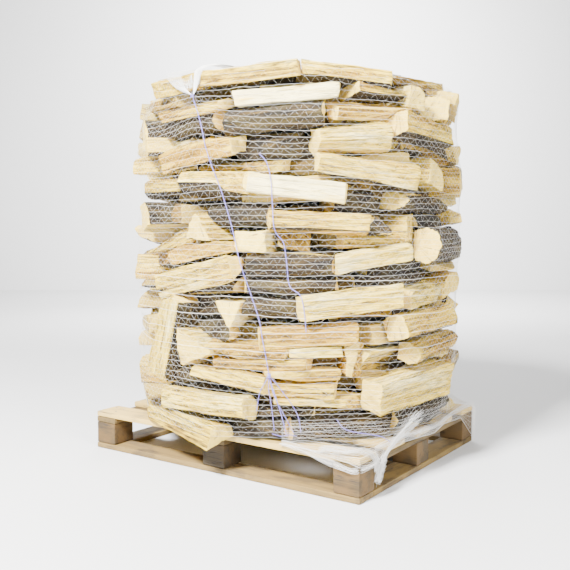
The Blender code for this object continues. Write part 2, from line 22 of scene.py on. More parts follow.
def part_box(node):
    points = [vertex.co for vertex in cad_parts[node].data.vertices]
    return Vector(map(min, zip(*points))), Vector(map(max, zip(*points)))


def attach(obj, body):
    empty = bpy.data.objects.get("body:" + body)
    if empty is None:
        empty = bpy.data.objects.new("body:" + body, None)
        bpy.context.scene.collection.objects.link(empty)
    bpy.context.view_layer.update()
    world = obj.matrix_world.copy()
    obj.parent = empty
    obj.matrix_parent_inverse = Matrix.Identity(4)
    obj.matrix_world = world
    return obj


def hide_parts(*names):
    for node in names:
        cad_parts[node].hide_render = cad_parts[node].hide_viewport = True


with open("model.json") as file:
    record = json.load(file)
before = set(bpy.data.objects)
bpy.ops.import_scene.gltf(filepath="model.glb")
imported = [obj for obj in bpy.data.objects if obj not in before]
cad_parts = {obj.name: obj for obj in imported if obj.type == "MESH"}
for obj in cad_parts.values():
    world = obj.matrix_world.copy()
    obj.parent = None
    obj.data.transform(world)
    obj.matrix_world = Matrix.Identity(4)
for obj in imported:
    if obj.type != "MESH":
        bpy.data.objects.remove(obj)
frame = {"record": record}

LOG = logging.getLogger("firewood")

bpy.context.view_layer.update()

# The stack, as in the part's source.
STACK_CENTRE = Vector((0.030, 0.020, 0.0))
FRONT_ANGLE = -57.0
DECK_TOP = 0.150
STACK_TOP = 1.400
COURSES = 5
LAYERS_PER_COURSE = 3
LOG_LENGTH = 0.330
LOG_GAP = 0.0015
SMALLEST_SHARE = 0.30
SEED = 33

# The pallet, as in the part's source.
PALLET_LENGTH = 1.200
PALLET_WIDTH = 1.000


class Surface(Enum):
    """What a face of a log shows. The value is its material slot."""

    SPLIT = 0
    SAWN = 1
    BARK = 2


@dataclass(frozen=True)
class Section:
    """A log's section: corners as shares of half its depth and rise, and its bark edges."""

    corners: tuple[tuple[float, float], ...]
    bark: tuple[int, ...] = ()
    pith: tuple[float, float] = (-1.2, -0.2)


SECTIONS: dict[str, Section] = {
    "plank": Section(((1, -1), (1, 1), (-1, 0.9), (-1, -0.9)), (), (-2.0, 0.0)),
    "split": Section(((1, -0.85), (1, 0.8), (0.1, 1), (-1, 0.55), (-0.85, -1)), (4,), (0.4, 1.6)),
    "slab": Section(((1, -0.9), (0.85, 1), (-1, 0.9), (-1, -1)), (3,), (0.2, 2.0)),
    "wedge": Section(((1, -1), (1, 1), (-1, 0.35), (-1, -0.1)), (), (-1.2, 0.1)),
    "ramp": Section(((0.8, -1), (1, 0.8), (-1, 1), (-1, -0.7)), (), (-1.0, 1.6)),
    "quarter": Section(((-1, -1), (1, -1), (0.9, -0.1), (0.5, 0.6), (-0.2, 0.95), (-1, 1)),
                       (1, 2, 3, 4), (-0.95, -0.95)),
    "barrel": Section(((-1, -0.8), (0, -1), (0.7, -0.7), (1, 0), (0.7, 0.7), (0, 1), (-1, 0.8)),
                      (0, 1, 2, 3, 4, 5), (-0.7, 0.0)),
    "boat": Section(((1, -0.1), (0.9, 0.75), (0, 1), (-1, 0.8), (-1, -0.5), (-0.2, -1), (0.6, -0.75)),
                    (4, 5, 6), (0.2, 0.7)),
    "roof": Section(((1, -1), (0.12, 1), (-0.12, 1), (-1, -1)), (3,), (0.0, 1.1)),
    "keel": Section(((1, 1), (-1, 1), (-0.2, -1), (0.2, -1)), (), (0.0, -1.2)),
    "prow": Section(((1, -0.1), (1, 0.1), (-0.9, 1), (-0.9, -1)), (2,), (1.1, 0.0)),
    "overhang": Section(((1, -1), (1, 0.9), (-0.2, 1), (-1, 0.6), (-1, -0.2)), (4,), (0.0, 1.5)),
}


@dataclass(frozen=True)
class LogSize:
    """One log: its place on the stack, its size, how it is turned and how its wood looks."""

    name: str
    bearing: float
    height: float
    reach: float
    length: float
    depth: float
    rise: float
    turn: float = 0.0
    tilt: float = 0.0
    section: str = "split"
    taper: float = 1.0
    warmth: float = 0.3
    # How light the wood is painted, 1 being plain; below 1, on recessed and inner logs, it is painted shade.
    light: float = 1.0
    bark: bool = True
    roll: float = 0.0


# The logs that stand out on the side that the photograph shows.
FRONT_LOGS: tuple[LogSize, ...] = (
    LogSize("white_plank_top", -4.5, 1.345, 0.602, 0.360, 0.060, 0.054, 0, 4.5, "plank", warmth=-0.3,
            light=1.12, roll=3),
    LogSize("white_plank_middle", -1.5, 1.030, 0.604, 0.350, 0.065, 0.072, 0, -7.5, "plank", warmth=-0.3,
            light=1.12, roll=-3),
    LogSize("grooved_bark_log", -9, 1.268, 0.598, 0.345, 0.095, 0.092, 0, 4.5, "barrel", warmth=0.3, light=1.15),
    LogSize("triangular_log", 24, 1.095, 0.603, 0.385, 0.090, 0.100, 0, -7, "split", 1.4, warmth=0.15, roll=8),
    LogSize("rounded_log_right", 19, 1.203, 0.598, 0.270, 0.100, 0.108, 0, 3, "barrel", warmth=0.15,
            bark=False, roll=10),
    LogSize("shoulder_log_right", 51, 1.237, 0.612, 0.340, 0.090, 0.085, 0, -5, "split", warmth=0.4, roll=-14),
    LogSize("end_block_right_top", 46, 1.350, 0.615, 0.300, 0.085, 0.085, 78, 0, "quarter", warmth=0.1,
            roll=12),
    LogSize("corner_block_right_top", 68, 1.318, 0.640, 0.320, 0.105, 0.100, 16, -3, "split", warmth=0.25,
            roll=12),
    LogSize("ridge_log_left", -17, 1.425, 0.600, 0.360, 0.085, 0.064, 0, 3, "split", warmth=0.25,
            light=1.05, roll=14),
    LogSize("ridge_log_right", 14, 1.415, 0.592, 0.360, 0.085, 0.060, 0, -5, "split", warmth=0.1,
            light=1.05, roll=-10),
    LogSize("quarter_log_left", -63, 1.235, 0.645, 0.330, 0.125, 0.115, 80, 0, "quarter", warmth=0.3, roll=20),
    LogSize("long_log_left", -38, 1.165, 0.604, 0.350, 0.095, 0.085, 0, 9, "split", warmth=0.45, roll=16),
    LogSize("lens_log_left", -30, 1.052, 0.606, 0.300, 0.105, 0.090, 0, -2, "boat", warmth=0.15, roll=-6),
    LogSize("large_end_left", -63, 0.945, 0.650, 0.330, 0.140, 0.115, 85, 0, "quarter", warmth=0.15, roll=-14),
    LogSize("roof_log_left", -36, 0.900, 0.606, 0.330, 0.150, 0.100, 84, 0, "roof", warmth=0.3),
    LogSize("pale_end_middle", -15.5, 0.848, 0.604, 0.330, 0.112, 0.076, 88, 0, "plank", warmth=-0.1, light=1.1),
    LogSize("long_log_middle", 6.5, 0.912, 0.602, 0.350, 0.085, 0.072, 0, -3, "split", warmth=0.4, roll=-12),
    LogSize("sloping_log_left", -39, 0.725, 0.608, 0.380, 0.100, 0.096, 0, 13, "wedge", warmth=0.15, roll=10),
    LogSize("grey_bark_log", -3, 0.772, 0.590, 0.300, 0.100, 0.094, 0, 2, "barrel", warmth=0.2, light=1.2),
    LogSize("rising_log_right", 22, 0.785, 0.608, 0.370, 0.085, 0.072, 0, 9, "split", warmth=0.0,
            light=1.08, roll=6),
    LogSize("knotty_plank", 18, 0.640, 0.608, 0.370, 0.075, 0.090, 0, 5.5, "plank", warmth=0.05,
            light=1.05, roll=-4),
    LogSize("bark_slab_right", 65, 0.830, 0.640, 0.320, 0.110, 0.140, 0, 0, "barrel", warmth=0.5, light=1.2),
    LogSize("orange_log_middle", 3, 0.530, 0.598, 0.340, 0.090, 0.076, 0, 3, "split", warmth=0.6, roll=12),
    LogSize("upper_log_right", 51, 0.556, 0.620, 0.360, 0.100, 0.096, 0, 3, "split", warmth=0.3, roll=-12),
    LogSize("brown_log_right", 58, 0.460, 0.618, 0.360, 0.095, 0.082, 0, 3, "barrel", warmth=0.5,
            bark=False, roll=9),
    LogSize("corner_log_right", 44, 0.328, 0.618, 0.420, 0.095, 0.122, 0, 4, "plank", warmth=0.15, roll=7),
    LogSize("leaning_log_left", -55, 0.495, 0.618, 0.330, 0.105, 0.128, 0, 68, "split", warmth=0.25, roll=10),
    LogSize("broad_end_left", -38, 0.460, 0.608, 0.330, 0.190, 0.150, 86, 0, "prow", warmth=0.25),
    LogSize("low_log_left", -36, 0.266, 0.606, 0.400, 0.105, 0.086, 0, 2, "split", warmth=0.2, roll=-9),
    LogSize("overhanging_log", -47, 0.183, 0.606, 0.400, 0.100, 0.092, 0, -6, "overhang", warmth=0.35, roll=6),
)

# Smaller or half hidden logs on the same side. Those with a light below 1 are recessed and darkened as painted shade.
BETWEEN_LOGS: tuple[LogSize, ...] = (
    LogSize("deck_log", 16, 0.196, 0.560, 0.360, 0.120, 0.088, 0, 0, "barrel", warmth=0.5),
    LogSize("dark_log", -5, 1.172, 0.565, 0.350, 0.120, 0.078, 0, 3, "barrel", light=0.7),
    LogSize("ragged_log", 27, 1.300, 0.586, 0.320, 0.120, 0.062, 0, 1, "split", warmth=0.55, roll=18),
    LogSize("top_split_log", 33, 1.362, 0.588, 0.300, 0.120, 0.062, 0, -2, "split", warmth=0.4, roll=-14),
    LogSize("gathered_log", -48, 1.420, 0.602, 0.310, 0.130, 0.074, 0, 0, "split", warmth=0.35, roll=14),
    LogSize("top_end_left", -66, 1.400, 0.630, 0.300, 0.110, 0.090, 62, 0, "quarter", warmth=0.2),
    LogSize("shadow_log_left", -45, 1.265, 0.572, 0.300, 0.120, 0.080, 0, 2, "barrel", light=0.8),
    LogSize("thin_log_left", -42, 1.315, 0.590, 0.330, 0.120, 0.050, 0, 2, "plank", warmth=0.4, roll=12),
    LogSize("left_wedge", -72, 1.125, 0.660, 0.300, 0.110, 0.075, 40, 0, "wedge", warmth=0.35, roll=-16),
    LogSize("brown_wedge_left", -62, 1.045, 0.618, 0.330, 0.120, 0.085, 30, 0, "boat", warmth=0.35, roll=10),
    LogSize("side_end_right", 76, 1.200, 0.642, 0.330, 0.120, 0.100, 78, 0, "quarter", warmth=0.5, roll=22),
    LogSize("side_end_low_right", 80, 1.075, 0.652, 0.330, 0.130, 0.120, 84, 0, "split", warmth=0.45, roll=-18),
    LogSize("round_end_right", 57, 1.085, 0.622, 0.330, 0.110, 0.100, 82, 0, "quarter", warmth=0.2, roll=16),
    LogSize("shelf_log_right", 55, 0.985, 0.590, 0.330, 0.120, 0.070, 0, -3, "barrel", warmth=0.4),
    LogSize("recessed_log_right", 28, 0.985, 0.545, 0.300, 0.120, 0.080, 0, 0, "barrel", light=0.7),
    LogSize("small_roof_right", 31, 0.905, 0.594, 0.330, 0.110, 0.070, 84, 0, "roof", warmth=0.4),
    LogSize("tall_end_right", 46, 0.875, 0.612, 0.330, 0.070, 0.145, 84, 0, "plank", warmth=0.15),
    LogSize("knot_end_right", 51, 0.655, 0.612, 0.260, 0.120, 0.082, 8, 2, "split", warmth=0.2, roll=10),
    LogSize("far_log_right", 76, 0.680, 0.645, 0.330, 0.120, 0.090, 60, 0, "split", warmth=0.3, roll=-14),
    LogSize("yellow_log_left", -36, 0.823, 0.594, 0.330, 0.120, 0.060, 0, 10, "split", warmth=0.5, roll=12),
    LogSize("slat_left", -60, 0.830, 0.628, 0.300, 0.120, 0.060, 20, 24, "plank", warmth=0.45, roll=14),
    LogSize("far_end_left", -82, 0.720, 0.655, 0.330, 0.120, 0.110, 75, 0, "wedge", warmth=0.3, roll=-20),
    LogSize("white_wedge_left", -24, 0.592, 0.600, 0.330, 0.105, 0.100, 88, 0, "keel", warmth=-0.1, light=1.1),
    LogSize("grey_log_low", -9, 0.620, 0.582, 0.330, 0.120, 0.078, 0, -2, "barrel", light=1.1),
    LogSize("grey_log_mid", -3, 0.690, 0.576, 0.320, 0.120, 0.070, 0, 1, "barrel", light=1.1),
    LogSize("shaded_log_left", -44, 0.610, 0.580, 0.330, 0.120, 0.080, 0, 6, "barrel", light=0.9),
    LogSize("striped_log", -20, 0.476, 0.590, 0.330, 0.120, 0.058, 0, 2, "split", warmth=0.6, roll=14),
    LogSize("thin_strip_log", -14, 0.428, 0.586, 0.340, 0.120, 0.044, 0, 1, "plank", warmth=0.5),
    LogSize("slope_log", -25, 0.366, 0.602, 0.300, 0.120, 0.070, 0, -8, "split", warmth=0.15, roll=-12),
    LogSize("post_end", 19, 0.450, 0.594, 0.330, 0.070, 0.150, 88, 0, "plank", warmth=0.55),
    LogSize("pale_wedge_right", 32, 0.432, 0.602, 0.260, 0.120, 0.090, 24, 0, "keel", warmth=0.15, roll=8),
    LogSize("short_pale_log", 7, 0.464, 0.590, 0.220, 0.120, 0.056, 0, 2, "split", warmth=0.0, roll=-10),
    LogSize("flat_log_low", 5, 0.402, 0.588, 0.340, 0.120, 0.054, 0, 1, "plank", warmth=0.4, roll=8),
    LogSize("grey_strip_log", -4, 0.345, 0.578, 0.340, 0.120, 0.056, 0, -1, "split", warmth=0.5, roll=12),
    LogSize("lower_strip_log", 9, 0.300, 0.584, 0.340, 0.120, 0.056, 0, -4, "plank", warmth=0.35, roll=-9),
    LogSize("mossy_log", -10, 0.245, 0.572, 0.300, 0.120, 0.070, 0, 0, "barrel", light=0.9),
    LogSize("under_bark_log", 52, 0.232, 0.596, 0.400, 0.120, 0.090, 0, 2, "barrel", light=0.8),
    LogSize("far_low_left", -78, 0.330, 0.645, 0.330, 0.120, 0.100, 70, 0, "split", warmth=0.3, roll=18),
)

# The strings: bearing and height of the points that each passes, from its upper end.
TIE_ROUTE = (
    (-37.0, 1.345), (-33.5, 1.240), (-30.0, 1.120), (-26.0, 1.015), (-21.0, 0.855),
    (-19.0, 0.785), (-15.5, 0.665), (-12.0, 0.550), (-9.5, 0.395), (-6.5, 0.290), (-4.0, 0.180),
)
LOOSE_ROUTE = (
    (-13.5, 1.150), (-10.5, 1.115), (-9.0, 1.050), (-8.5, 0.975), (-7.5, 0.885),
    (-5.0, 0.845), (-4.0, 0.775), (-3.0, 0.700), (0.7, 0.660), (2.2, 0.545),
)
# How light each pallet piece's wood is painted, 1 being plain. The lower values are painted shade, for the boards and
# blocks under the deck and the block in the overhanging log's shadow.
BOARD_PAINTED_SHADE = {"block_front_left": 0.95, "block_front_middle": 0.50, "block_front_right": 1.02,
               "block_middle_right": 0.9, "block_back_right": 0.8, "bottom_board_middle": 0.6,
               "bottom_board_back": 0.6, "cross_board_left": 0.6, "cross_board_middle": 0.45, "cross_board_right": 0.6}
KNOT = (-9.5, 0.395)
GATHER = (-37.0, 1.350)


Colour = tuple[float, float, float]


class Value:
    """A socket that carries numbers, with the operators that add its Math nodes."""

    def __init__(self, graph: "Graph", socket: Any) -> None:
        """Wrap a socket.

        Args:
            graph: The graph that the socket belongs to.
            socket: The output socket, or a plain number.
        """
        self.graph = graph
        self.socket = socket

    def math(self, operation: str, *others: "Value | float", clamp: bool = False) -> "Value":
        """Add a Math node whose first input is this value.

        Args:
            operation: The Math node's operation.
            others: The other inputs.
            clamp: Whether the result is held between 0 and 1.

        Returns:
            The result.
        """
        inputs = {0: self, **{index + 1: other for index, other in enumerate(others)}}
        node = self.graph.node("ShaderNodeMath", {"operation": operation, "use_clamp": clamp}, inputs)
        return Value(self.graph, node.outputs[0])

    def __add__(self, other: "Value | float") -> "Value":
        """Add."""
        return self.math("ADD", other)

    __radd__ = __add__

    def __sub__(self, other: "Value | float") -> "Value":
        """Subtract."""
        return self.math("SUBTRACT", other)

    def __rsub__(self, other: float) -> "Value":
        """Subtract this from a number."""
        return Value(self.graph, other).math("SUBTRACT", self)

    def __mul__(self, other: "Value | float") -> "Value":
        """Multiply."""
        return self.math("MULTIPLY", other)

    __rmul__ = __mul__

    def __truediv__(self, other: "Value | float") -> "Value":
        """Divide."""
        return self.math("DIVIDE", other)

    def __rtruediv__(self, other: float) -> "Value":
        """Divide a number by this."""
        return Value(self.graph, other).math("DIVIDE", self)

    def __pow__(self, other: "Value | float") -> "Value":
        """Raise to a power."""
        return self.math("POWER", other)

    def clamped(self) -> "Value":
        """Hold between 0 and 1."""
        return self.math("ADD", 0.0, clamp=True)

    def sine(self) -> "Value":
        """Return the sine."""
        return self.math("SINE")

    def size(self) -> "Value":
        """Return the absolute value."""
        return self.math("ABSOLUTE")

    def step(self, low: float, high: float) -> "Value":
        """Rise smoothly from 0 at low to 1 at high, or fall where high is the lower.

        Args:
            low: Where the result is 0.
            high: Where the result is 1.

        Returns:
            The result.
        """
        inputs = {"Value": self, "From Min": low, "From Max": high}
        node = self.graph.node("ShaderNodeMapRange", {"interpolation_type": "SMOOTHSTEP"}, inputs)
        return Value(self.graph, node.outputs["Result"])


class Graph:
    """The nodes of one material."""

    def __init__(self, name: str) -> None:
        """Start a material that has a Principled BSDF alone.

        Args:
            name: The material's name.
        """
        self.material = bpy.data.materials.new(name)
        self.material.use_nodes = True
        self.tree = self.material.node_tree
        self.shader = self.tree.nodes["Principled BSDF"]

    def node(self, kind: str, settings: dict[str, Any] | None = None,
             inputs: dict[Any, Any] | None = None) -> bpy.types.Node:
        """Add a node.

        Args:
            kind: The node's type.
            settings: Attributes that are set first. "stops" sets a ramp's stops.
            inputs: Values or links, by socket name or number.

        Returns:
            The node.
        """
        node = self.tree.nodes.new(kind)
        for key, value in (settings or {}).items():
            if key == "stops":
                self._set_stops(node.color_ramp, value)
            else:
                setattr(node, key, value)
        for key, value in (inputs or {}).items():
            self.feed(node.inputs[key], value)
        return node

    @staticmethod
    def _set_stops(ramp: bpy.types.ColorRamp, stops: Iterable[tuple[float, Colour]]) -> None:
        """Set a ramp's stops.

        Args:
            ramp: The ramp.
            stops: Place and colour of each stop.
        """
        for index, (place, colour) in enumerate(stops):
            stop = ramp.elements[index] if index < 2 else ramp.elements.new(place)
            stop.position = place
            stop.color = (*colour, 1.0)

    def feed(self, socket: bpy.types.NodeSocket, value: Any) -> None:
        """Link or set an input.

        Args:
            socket: The input.
            value: A Value, an output socket, a number, a vector or a colour.
        """
        if isinstance(value, Value):
            value = value.socket
        if isinstance(value, bpy.types.NodeSocket):
            self.tree.links.new(value, socket)
        elif socket.type == "RGBA" and not isinstance(value, (int, float)):
            socket.default_value = (*value, 1.0)
        else:
            socket.default_value = value

    def attribute(self, name: str) -> bpy.types.NodeSocket:
        """Return the vector of a mesh attribute."""
        return self.node("ShaderNodeAttribute", {"attribute_name": name}).outputs["Vector"]

    def object_space(self) -> bpy.types.NodeSocket:
        """Return the object coordinates."""
        return self.node("ShaderNodeTexCoord").outputs["Object"]

    def split(self, vector: bpy.types.NodeSocket) -> tuple[Value, Value, Value]:
        """Return a vector's three parts."""
        outputs = self.node("ShaderNodeSeparateXYZ", inputs={0: vector}).outputs
        return Value(self, outputs[0]), Value(self, outputs[1]), Value(self, outputs[2])

    def stretched(self, vector: bpy.types.NodeSocket, scale: Colour) -> bpy.types.NodeSocket:
        """Return a vector with each part multiplied by its own scale."""
        return self.node("ShaderNodeVectorMath", {"operation": "MULTIPLY"}, {0: vector, 1: scale}).outputs[0]

    def noise(self, vector: bpy.types.NodeSocket, scale: Colour, detail: float = 3.0,
              roughness: float = 0.55, distortion: float = 0.0) -> Value:
        """Return noise over a stretched vector.

        Args:
            vector: The coordinates.
            scale: How much each part is multiplied by.
            detail: The noise's octaves.
            roughness: How strong the finer octaves are.
            distortion: How much the noise is warped.

        Returns:
            The noise, about 0.5 on average.
        """
        node = self.node("ShaderNodeTexNoise", inputs={
            "Vector": self.stretched(vector, scale), "Scale": 1.0, "Detail": detail,
            "Roughness": roughness, "Distortion": distortion})
        return Value(self, node.outputs[0])

    def mix(self, factor: Value | float, first: Any, second: Any, blend: str = "MIX") -> bpy.types.NodeSocket:
        """Mix two colours.

        Args:
            factor: The second colour's share.
            first: A colour or a link.
            second: A colour or a link.
            blend: The way they are blended.

        Returns:
            The mixed colour.
        """
        node = self.node("ShaderNodeMix", {"data_type": "RGBA", "blend_type": blend, "clamp_factor": True})
        self.feed(node.inputs[0], factor)
        self.feed(node.inputs[6], first)
        self.feed(node.inputs[7], second)
        return node.outputs[2]

    def scaled(self, colour: Any, amount: Value) -> bpy.types.NodeSocket:
        """Return a colour made lighter or darker by a number."""
        node = self.node("ShaderNodeVectorMath", {"operation": "SCALE"}, {0: colour, "Scale": amount})
        return node.outputs[0]

    def finish(self, colour: Any, roughness: Value | float, height: Value | None = None,
               relief: float = 0.001, strength: float = 0.6) -> bpy.types.Material:
        """Feed the shader.

        Args:
            colour: The base colour.
            roughness: The roughness.
            height: The bump's height, from 0 to 1.
            relief: The height of 1, in metres.
            strength: The bump's strength.

        Returns:
            The material.
        """
        self.feed(self.shader.inputs["Base Color"], colour)
        self.feed(self.shader.inputs["Roughness"], roughness)
        if height is not None:
            bump = self.node("ShaderNodeBump", inputs={"Height": height, "Distance": relief, "Strength": strength})
            self.feed(self.shader.inputs["Normal"], bump.outputs[0])
        return self.material


@dataclass(frozen=True)
class SplitWood:
    """Torn wood along the grain: streaks, fibres and a warmth that each log has of its own."""

    name: str = "split_wood"
    white: Colour = (0.93, 0.79, 0.37)
    cream: Colour = (0.86, 0.595, 0.048)
    honey: Colour = (0.56, 0.31, 0.012)
    brown: Colour = (0.18, 0.082, 0.008)
    straw: Colour = (0.98, 1.0, 0.84)

    def build(self) -> bpy.types.Material:
        """Return the material."""
        graph = Graph(self.name)
        space = graph.attribute("log_space")
        warmth, light, seed = graph.split(graph.attribute("log_tone"))
        broad = graph.noise(space, (4.0, 14.0, 14.0), 2.0)
        streak = graph.noise(space, (2.4, 95.0, 95.0), 4.0, 0.6, 0.4)
        fibre = graph.noise(space, (16.0, 620.0, 620.0), 2.0)
        flake = graph.noise(space, (7.0, 46.0, 46.0), 4.0, 0.62, 1.2)
        tone = (warmth + (broad - 0.5) * 1.35 + (streak - 0.5) * 1.1 + (flake - 0.5) * 0.9 + 0.3) / 1.5
        colour = graph.node("ShaderNodeValToRGB", {"stops": (
            (0.0, self.white), (0.30, self.cream), (0.62, self.honey), (1.0, self.brown))},
            {"Fac": tone}).outputs[0]
        shade = streak.step(0.50, 0.64) * 0.50 + fibre.step(0.46, 0.66) * 0.28
        dash = graph.noise(space, (30.0, 165.0, 165.0), 2.0, 0.6, 0.6)
        shade = shade + flake.step(0.53, 0.62) * 0.30 + dash.step(0.55, 0.62) * 0.30
        knot = graph.noise(space, (12.0, 32.0, 32.0), 1.0, 0.4, 0.6).step(0.735, 0.78)
        shade = 1.0 - shade * (warmth.step(-0.25, 0.15) * 0.85 + 0.15)
        colour = graph.mix(seed.step(0.35, 0.9) * 0.9, colour, graph.stretched(colour, self.straw))
        colour = graph.mix(knot * 0.75, colour, self.brown)
        split = (graph.noise(space, (1.1, 62.0, 62.0), 2.0, 0.5, 0.5) - 0.5).size().step(0.020, 0.003)
        split = split * graph.noise(space, (6.0, 30.0, 30.0), 1.0).step(0.40, 0.56)
        shade = shade * (1.0 - split * 0.42)
        height = streak * 0.5 + fibre * 0.25 + flake * 0.6 - dash.step(0.5, 0.65) * 0.3 - split * 0.6
        rough = 0.70 + fibre * 0.2
        # light, from the log's tone, is its painted lightness: painted shade where it is below 1, on recessed and
        # inner logs.
        return graph.finish(graph.scaled(colour, shade * light), rough, height, 0.0060, 0.95)


@dataclass(frozen=True)
class SawnWood:
    """A sawn end: year rings round the pith, drying cracks and saw marks."""

    name: str = "sawn_wood"
    early: Colour = (0.88, 0.66, 0.13)
    late: Colour = (0.60, 0.39, 0.050)
    crack: Colour = (0.17, 0.09, 0.04)
    ring_width: float = 0.0035

    def build(self) -> bpy.types.Material:
        """Return the material."""
        graph = Graph(self.name)
        space = graph.attribute("log_space")
        warmth, light, seed = graph.split(graph.attribute("log_tone"))
        _, across, up = graph.split(space)
        radius = (across * across + up * up) ** 0.5
        wander = graph.noise(space, (5.0, 28.0, 28.0), 2.0)
        ring = (radius * (2 * math.pi / self.ring_width) + wander * 9.0).sine() * 0.5 + 0.5
        angle = up.math("ARCTAN2", across)
        ray = graph.node("ShaderNodeTexNoise", {"noise_dimensions": "1D"},
                         {"W": angle * 5.0 + seed * 40.0, "Scale": 1.0, "Detail": 2.0})
        cracked = (Value(graph, ray.outputs[0]) - 0.5).size().step(0.022, 0.004)
        cracked = cracked * graph.noise(space, (5.0, 40.0, 40.0), 1.0).step(0.42, 0.56)
        marks = graph.noise(space, (5.0, 260.0, 40.0), 2.0)
        colour = graph.mix(ring * 0.55 + (warmth + 0.2) * 0.5, self.early, self.late)
        colour = graph.mix(cracked * 0.8, colour, self.crack)
        height = marks * 0.3 + ring * 0.2 - cracked
        # light, from the log's tone, is painted shade on recessed and inner logs.
        return graph.finish(graph.scaled(colour, light * (0.86 + marks * 0.28)), 0.78, height, 0.0015, 0.6)


@dataclass(frozen=True)
class Bark:
    """Bark: long plates between dark furrows, with paler worn crests. Its colours are kept very dark, partly as
    painted shade for the crevices between the logs where bark shows.
    """

    name: str = "bark"
    furrow: Colour = (0.004, 0.0025, 0.001)
    plate: Colour = (0.026, 0.015, 0.003)
    crest: Colour = (0.115, 0.072, 0.012)
    grey: Colour = (0.064, 0.047, 0.012)

    def build(self) -> bpy.types.Material:
        """Return the material."""
        graph = Graph(self.name)
        space = graph.attribute("log_space")
        warmth, light, _ = graph.split(graph.attribute("log_tone"))
        plates = graph.noise(space, (9.0, 85.0, 85.0), 4.0, 0.6, 0.8)
        fine = graph.noise(space, (60.0, 320.0, 320.0), 3.0)
        patch = graph.noise(space, (7.0, 18.0, 18.0), 2.0)
        colour = graph.mix(plates.step(0.40, 0.54), self.furrow, self.plate)
        colour = graph.mix(plates.step(0.54, 0.68) * 0.85, colour, self.crest)
        colour = graph.mix(patch.step(0.48, 0.62) * 0.6, colour, self.grey)
        # light, from the log's tone, is painted shade on recessed and inner logs.
        shade = light * (0.78 + fine * 0.45) * (1.0 + warmth * 0.25)
        return graph.finish(graph.scaled(colour, shade), 0.88, plates * 0.8 + fine * 0.2, 0.006, 0.9)


@dataclass(frozen=True)
class PalletWood:
    """Rough sawn pallet wood: saw marks, weathering, cracks along the grain and dirt, all scaled by each piece's
    light, which on the pieces under the deck is painted shade.
    """

    name: str
    fresh: Colour
    worn: Colour
    crack: Colour = (0.045, 0.03, 0.02)
    weathering: float = 0.5

    def build(self) -> bpy.types.Material:
        """Return the material."""
        graph = Graph(self.name)
        space = graph.attribute("log_space")
        _, light, _ = graph.split(graph.attribute("log_tone"))
        grain = graph.noise(space, (2.6, 75.0, 75.0), 4.0, 0.6, 0.6)
        fibre = graph.noise(space, (22.0, 560.0, 560.0), 2.0)
        patch = graph.noise(space, (7.0, 16.0, 16.0), 3.0)
        split = (graph.noise(space, (1.7, 38.0, 38.0), 2.0, 0.5, 0.3) - 0.5).size().step(0.012, 0.002)
        split = split * patch.step(0.46, 0.56)
        colour = graph.mix(patch.step(0.62 - self.weathering * 0.4, 0.80 - self.weathering * 0.35),
                           self.fresh, self.worn)
        colour = graph.mix(split * 0.85, colour, self.crack)
        # light is each piece's painted lightness: painted shade on the pieces under the deck.
        shade = light * (1.0 - grain.step(0.50, 0.72) * 0.34) * (0.86 + fibre * 0.28)
        height = grain * 0.5 + fibre * 0.4 - split
        return graph.finish(graph.scaled(colour, shade), 0.82, height, 0.002, 0.7)


@dataclass(frozen=True)
class Yarn:
    """A thin thread: a colour with a faint change along it."""

    name: str
    colour: Colour
    shade: Colour
    roughness: float = 0.55
    pitch: float = 300.0

    def build(self) -> bpy.types.Material:
        """Return the material."""
        graph = Graph(self.name)
        space = graph.object_space()
        change = graph.noise(space, (self.pitch, self.pitch, self.pitch), 2.0)
        return graph.finish(graph.mix(change.step(0.4, 0.7), self.colour, self.shade), self.roughness)


@dataclass(frozen=True)
class Steel:
    """Dull nail heads with some rust."""

    name: str = "nail_steel"
    bare: Colour = (0.30, 0.29, 0.28)
    rust: Colour = (0.22, 0.09, 0.04)

    def build(self) -> bpy.types.Material:
        """Return the material."""
        graph = Graph(self.name)
        rusty = graph.noise(graph.object_space(), (240.0, 240.0, 240.0), 3.0).step(0.42, 0.6)
        graph.feed(graph.shader.inputs["Metallic"], 1.0 - rusty * 0.8)
        return graph.finish(graph.mix(rusty, self.bare, self.rust), 0.5 + rusty * 0.3)


def sides_outward(shape: bmesh.types.BMesh) -> None:
    """Point a shape's faces outwards and refresh its normals."""
    bmesh.ops.recalc_face_normals(shape, faces=shape.faces)
    shape.normal_update()


def everything(shape: bmesh.types.BMesh) -> list[Any]:
    """Return a shape's corners, edges and faces."""
    return [*shape.verts, *shape.edges, *shape.faces]


def direction(bearing: float) -> Vector:
    """Return the unit vector that points out of the stack at this bearing."""
    angle = math.radians(FRONT_ANGLE + bearing)
    return Vector((math.cos(angle), math.sin(angle), 0.0))


def cut(shape: bmesh.types.BMesh, point: Vector, normal: Vector) -> None:
    """Take away what lies behind a plane and close the cut.

    Args:
        shape: A closed convex shape.
        point: A point of the plane.
        normal: The plane's normal, on the side that is kept.
    """
    bmesh.ops.bisect_plane(shape, geom=everything(shape), dist=1e-6, plane_co=point, plane_no=normal,
                           clear_inner=True)
    rim = [edge for edge in shape.edges if edge.is_boundary]
    if rim:
        bmesh.ops.holes_fill(shape, edges=rim, sides=0)
    bmesh.ops.remove_doubles(shape, verts=shape.verts, dist=2e-5)
    sides_outward(shape)


def volume_left(shape: bmesh.types.BMesh, point: Vector, normal: Vector) -> float:
    """Return how much of a shape is left in front of a plane."""
    trial = shape.copy()
    cut(trial, point, normal)
    volume = abs(trial.calc_volume()) if trial.faces else 0.0
    trial.free()
    return volume


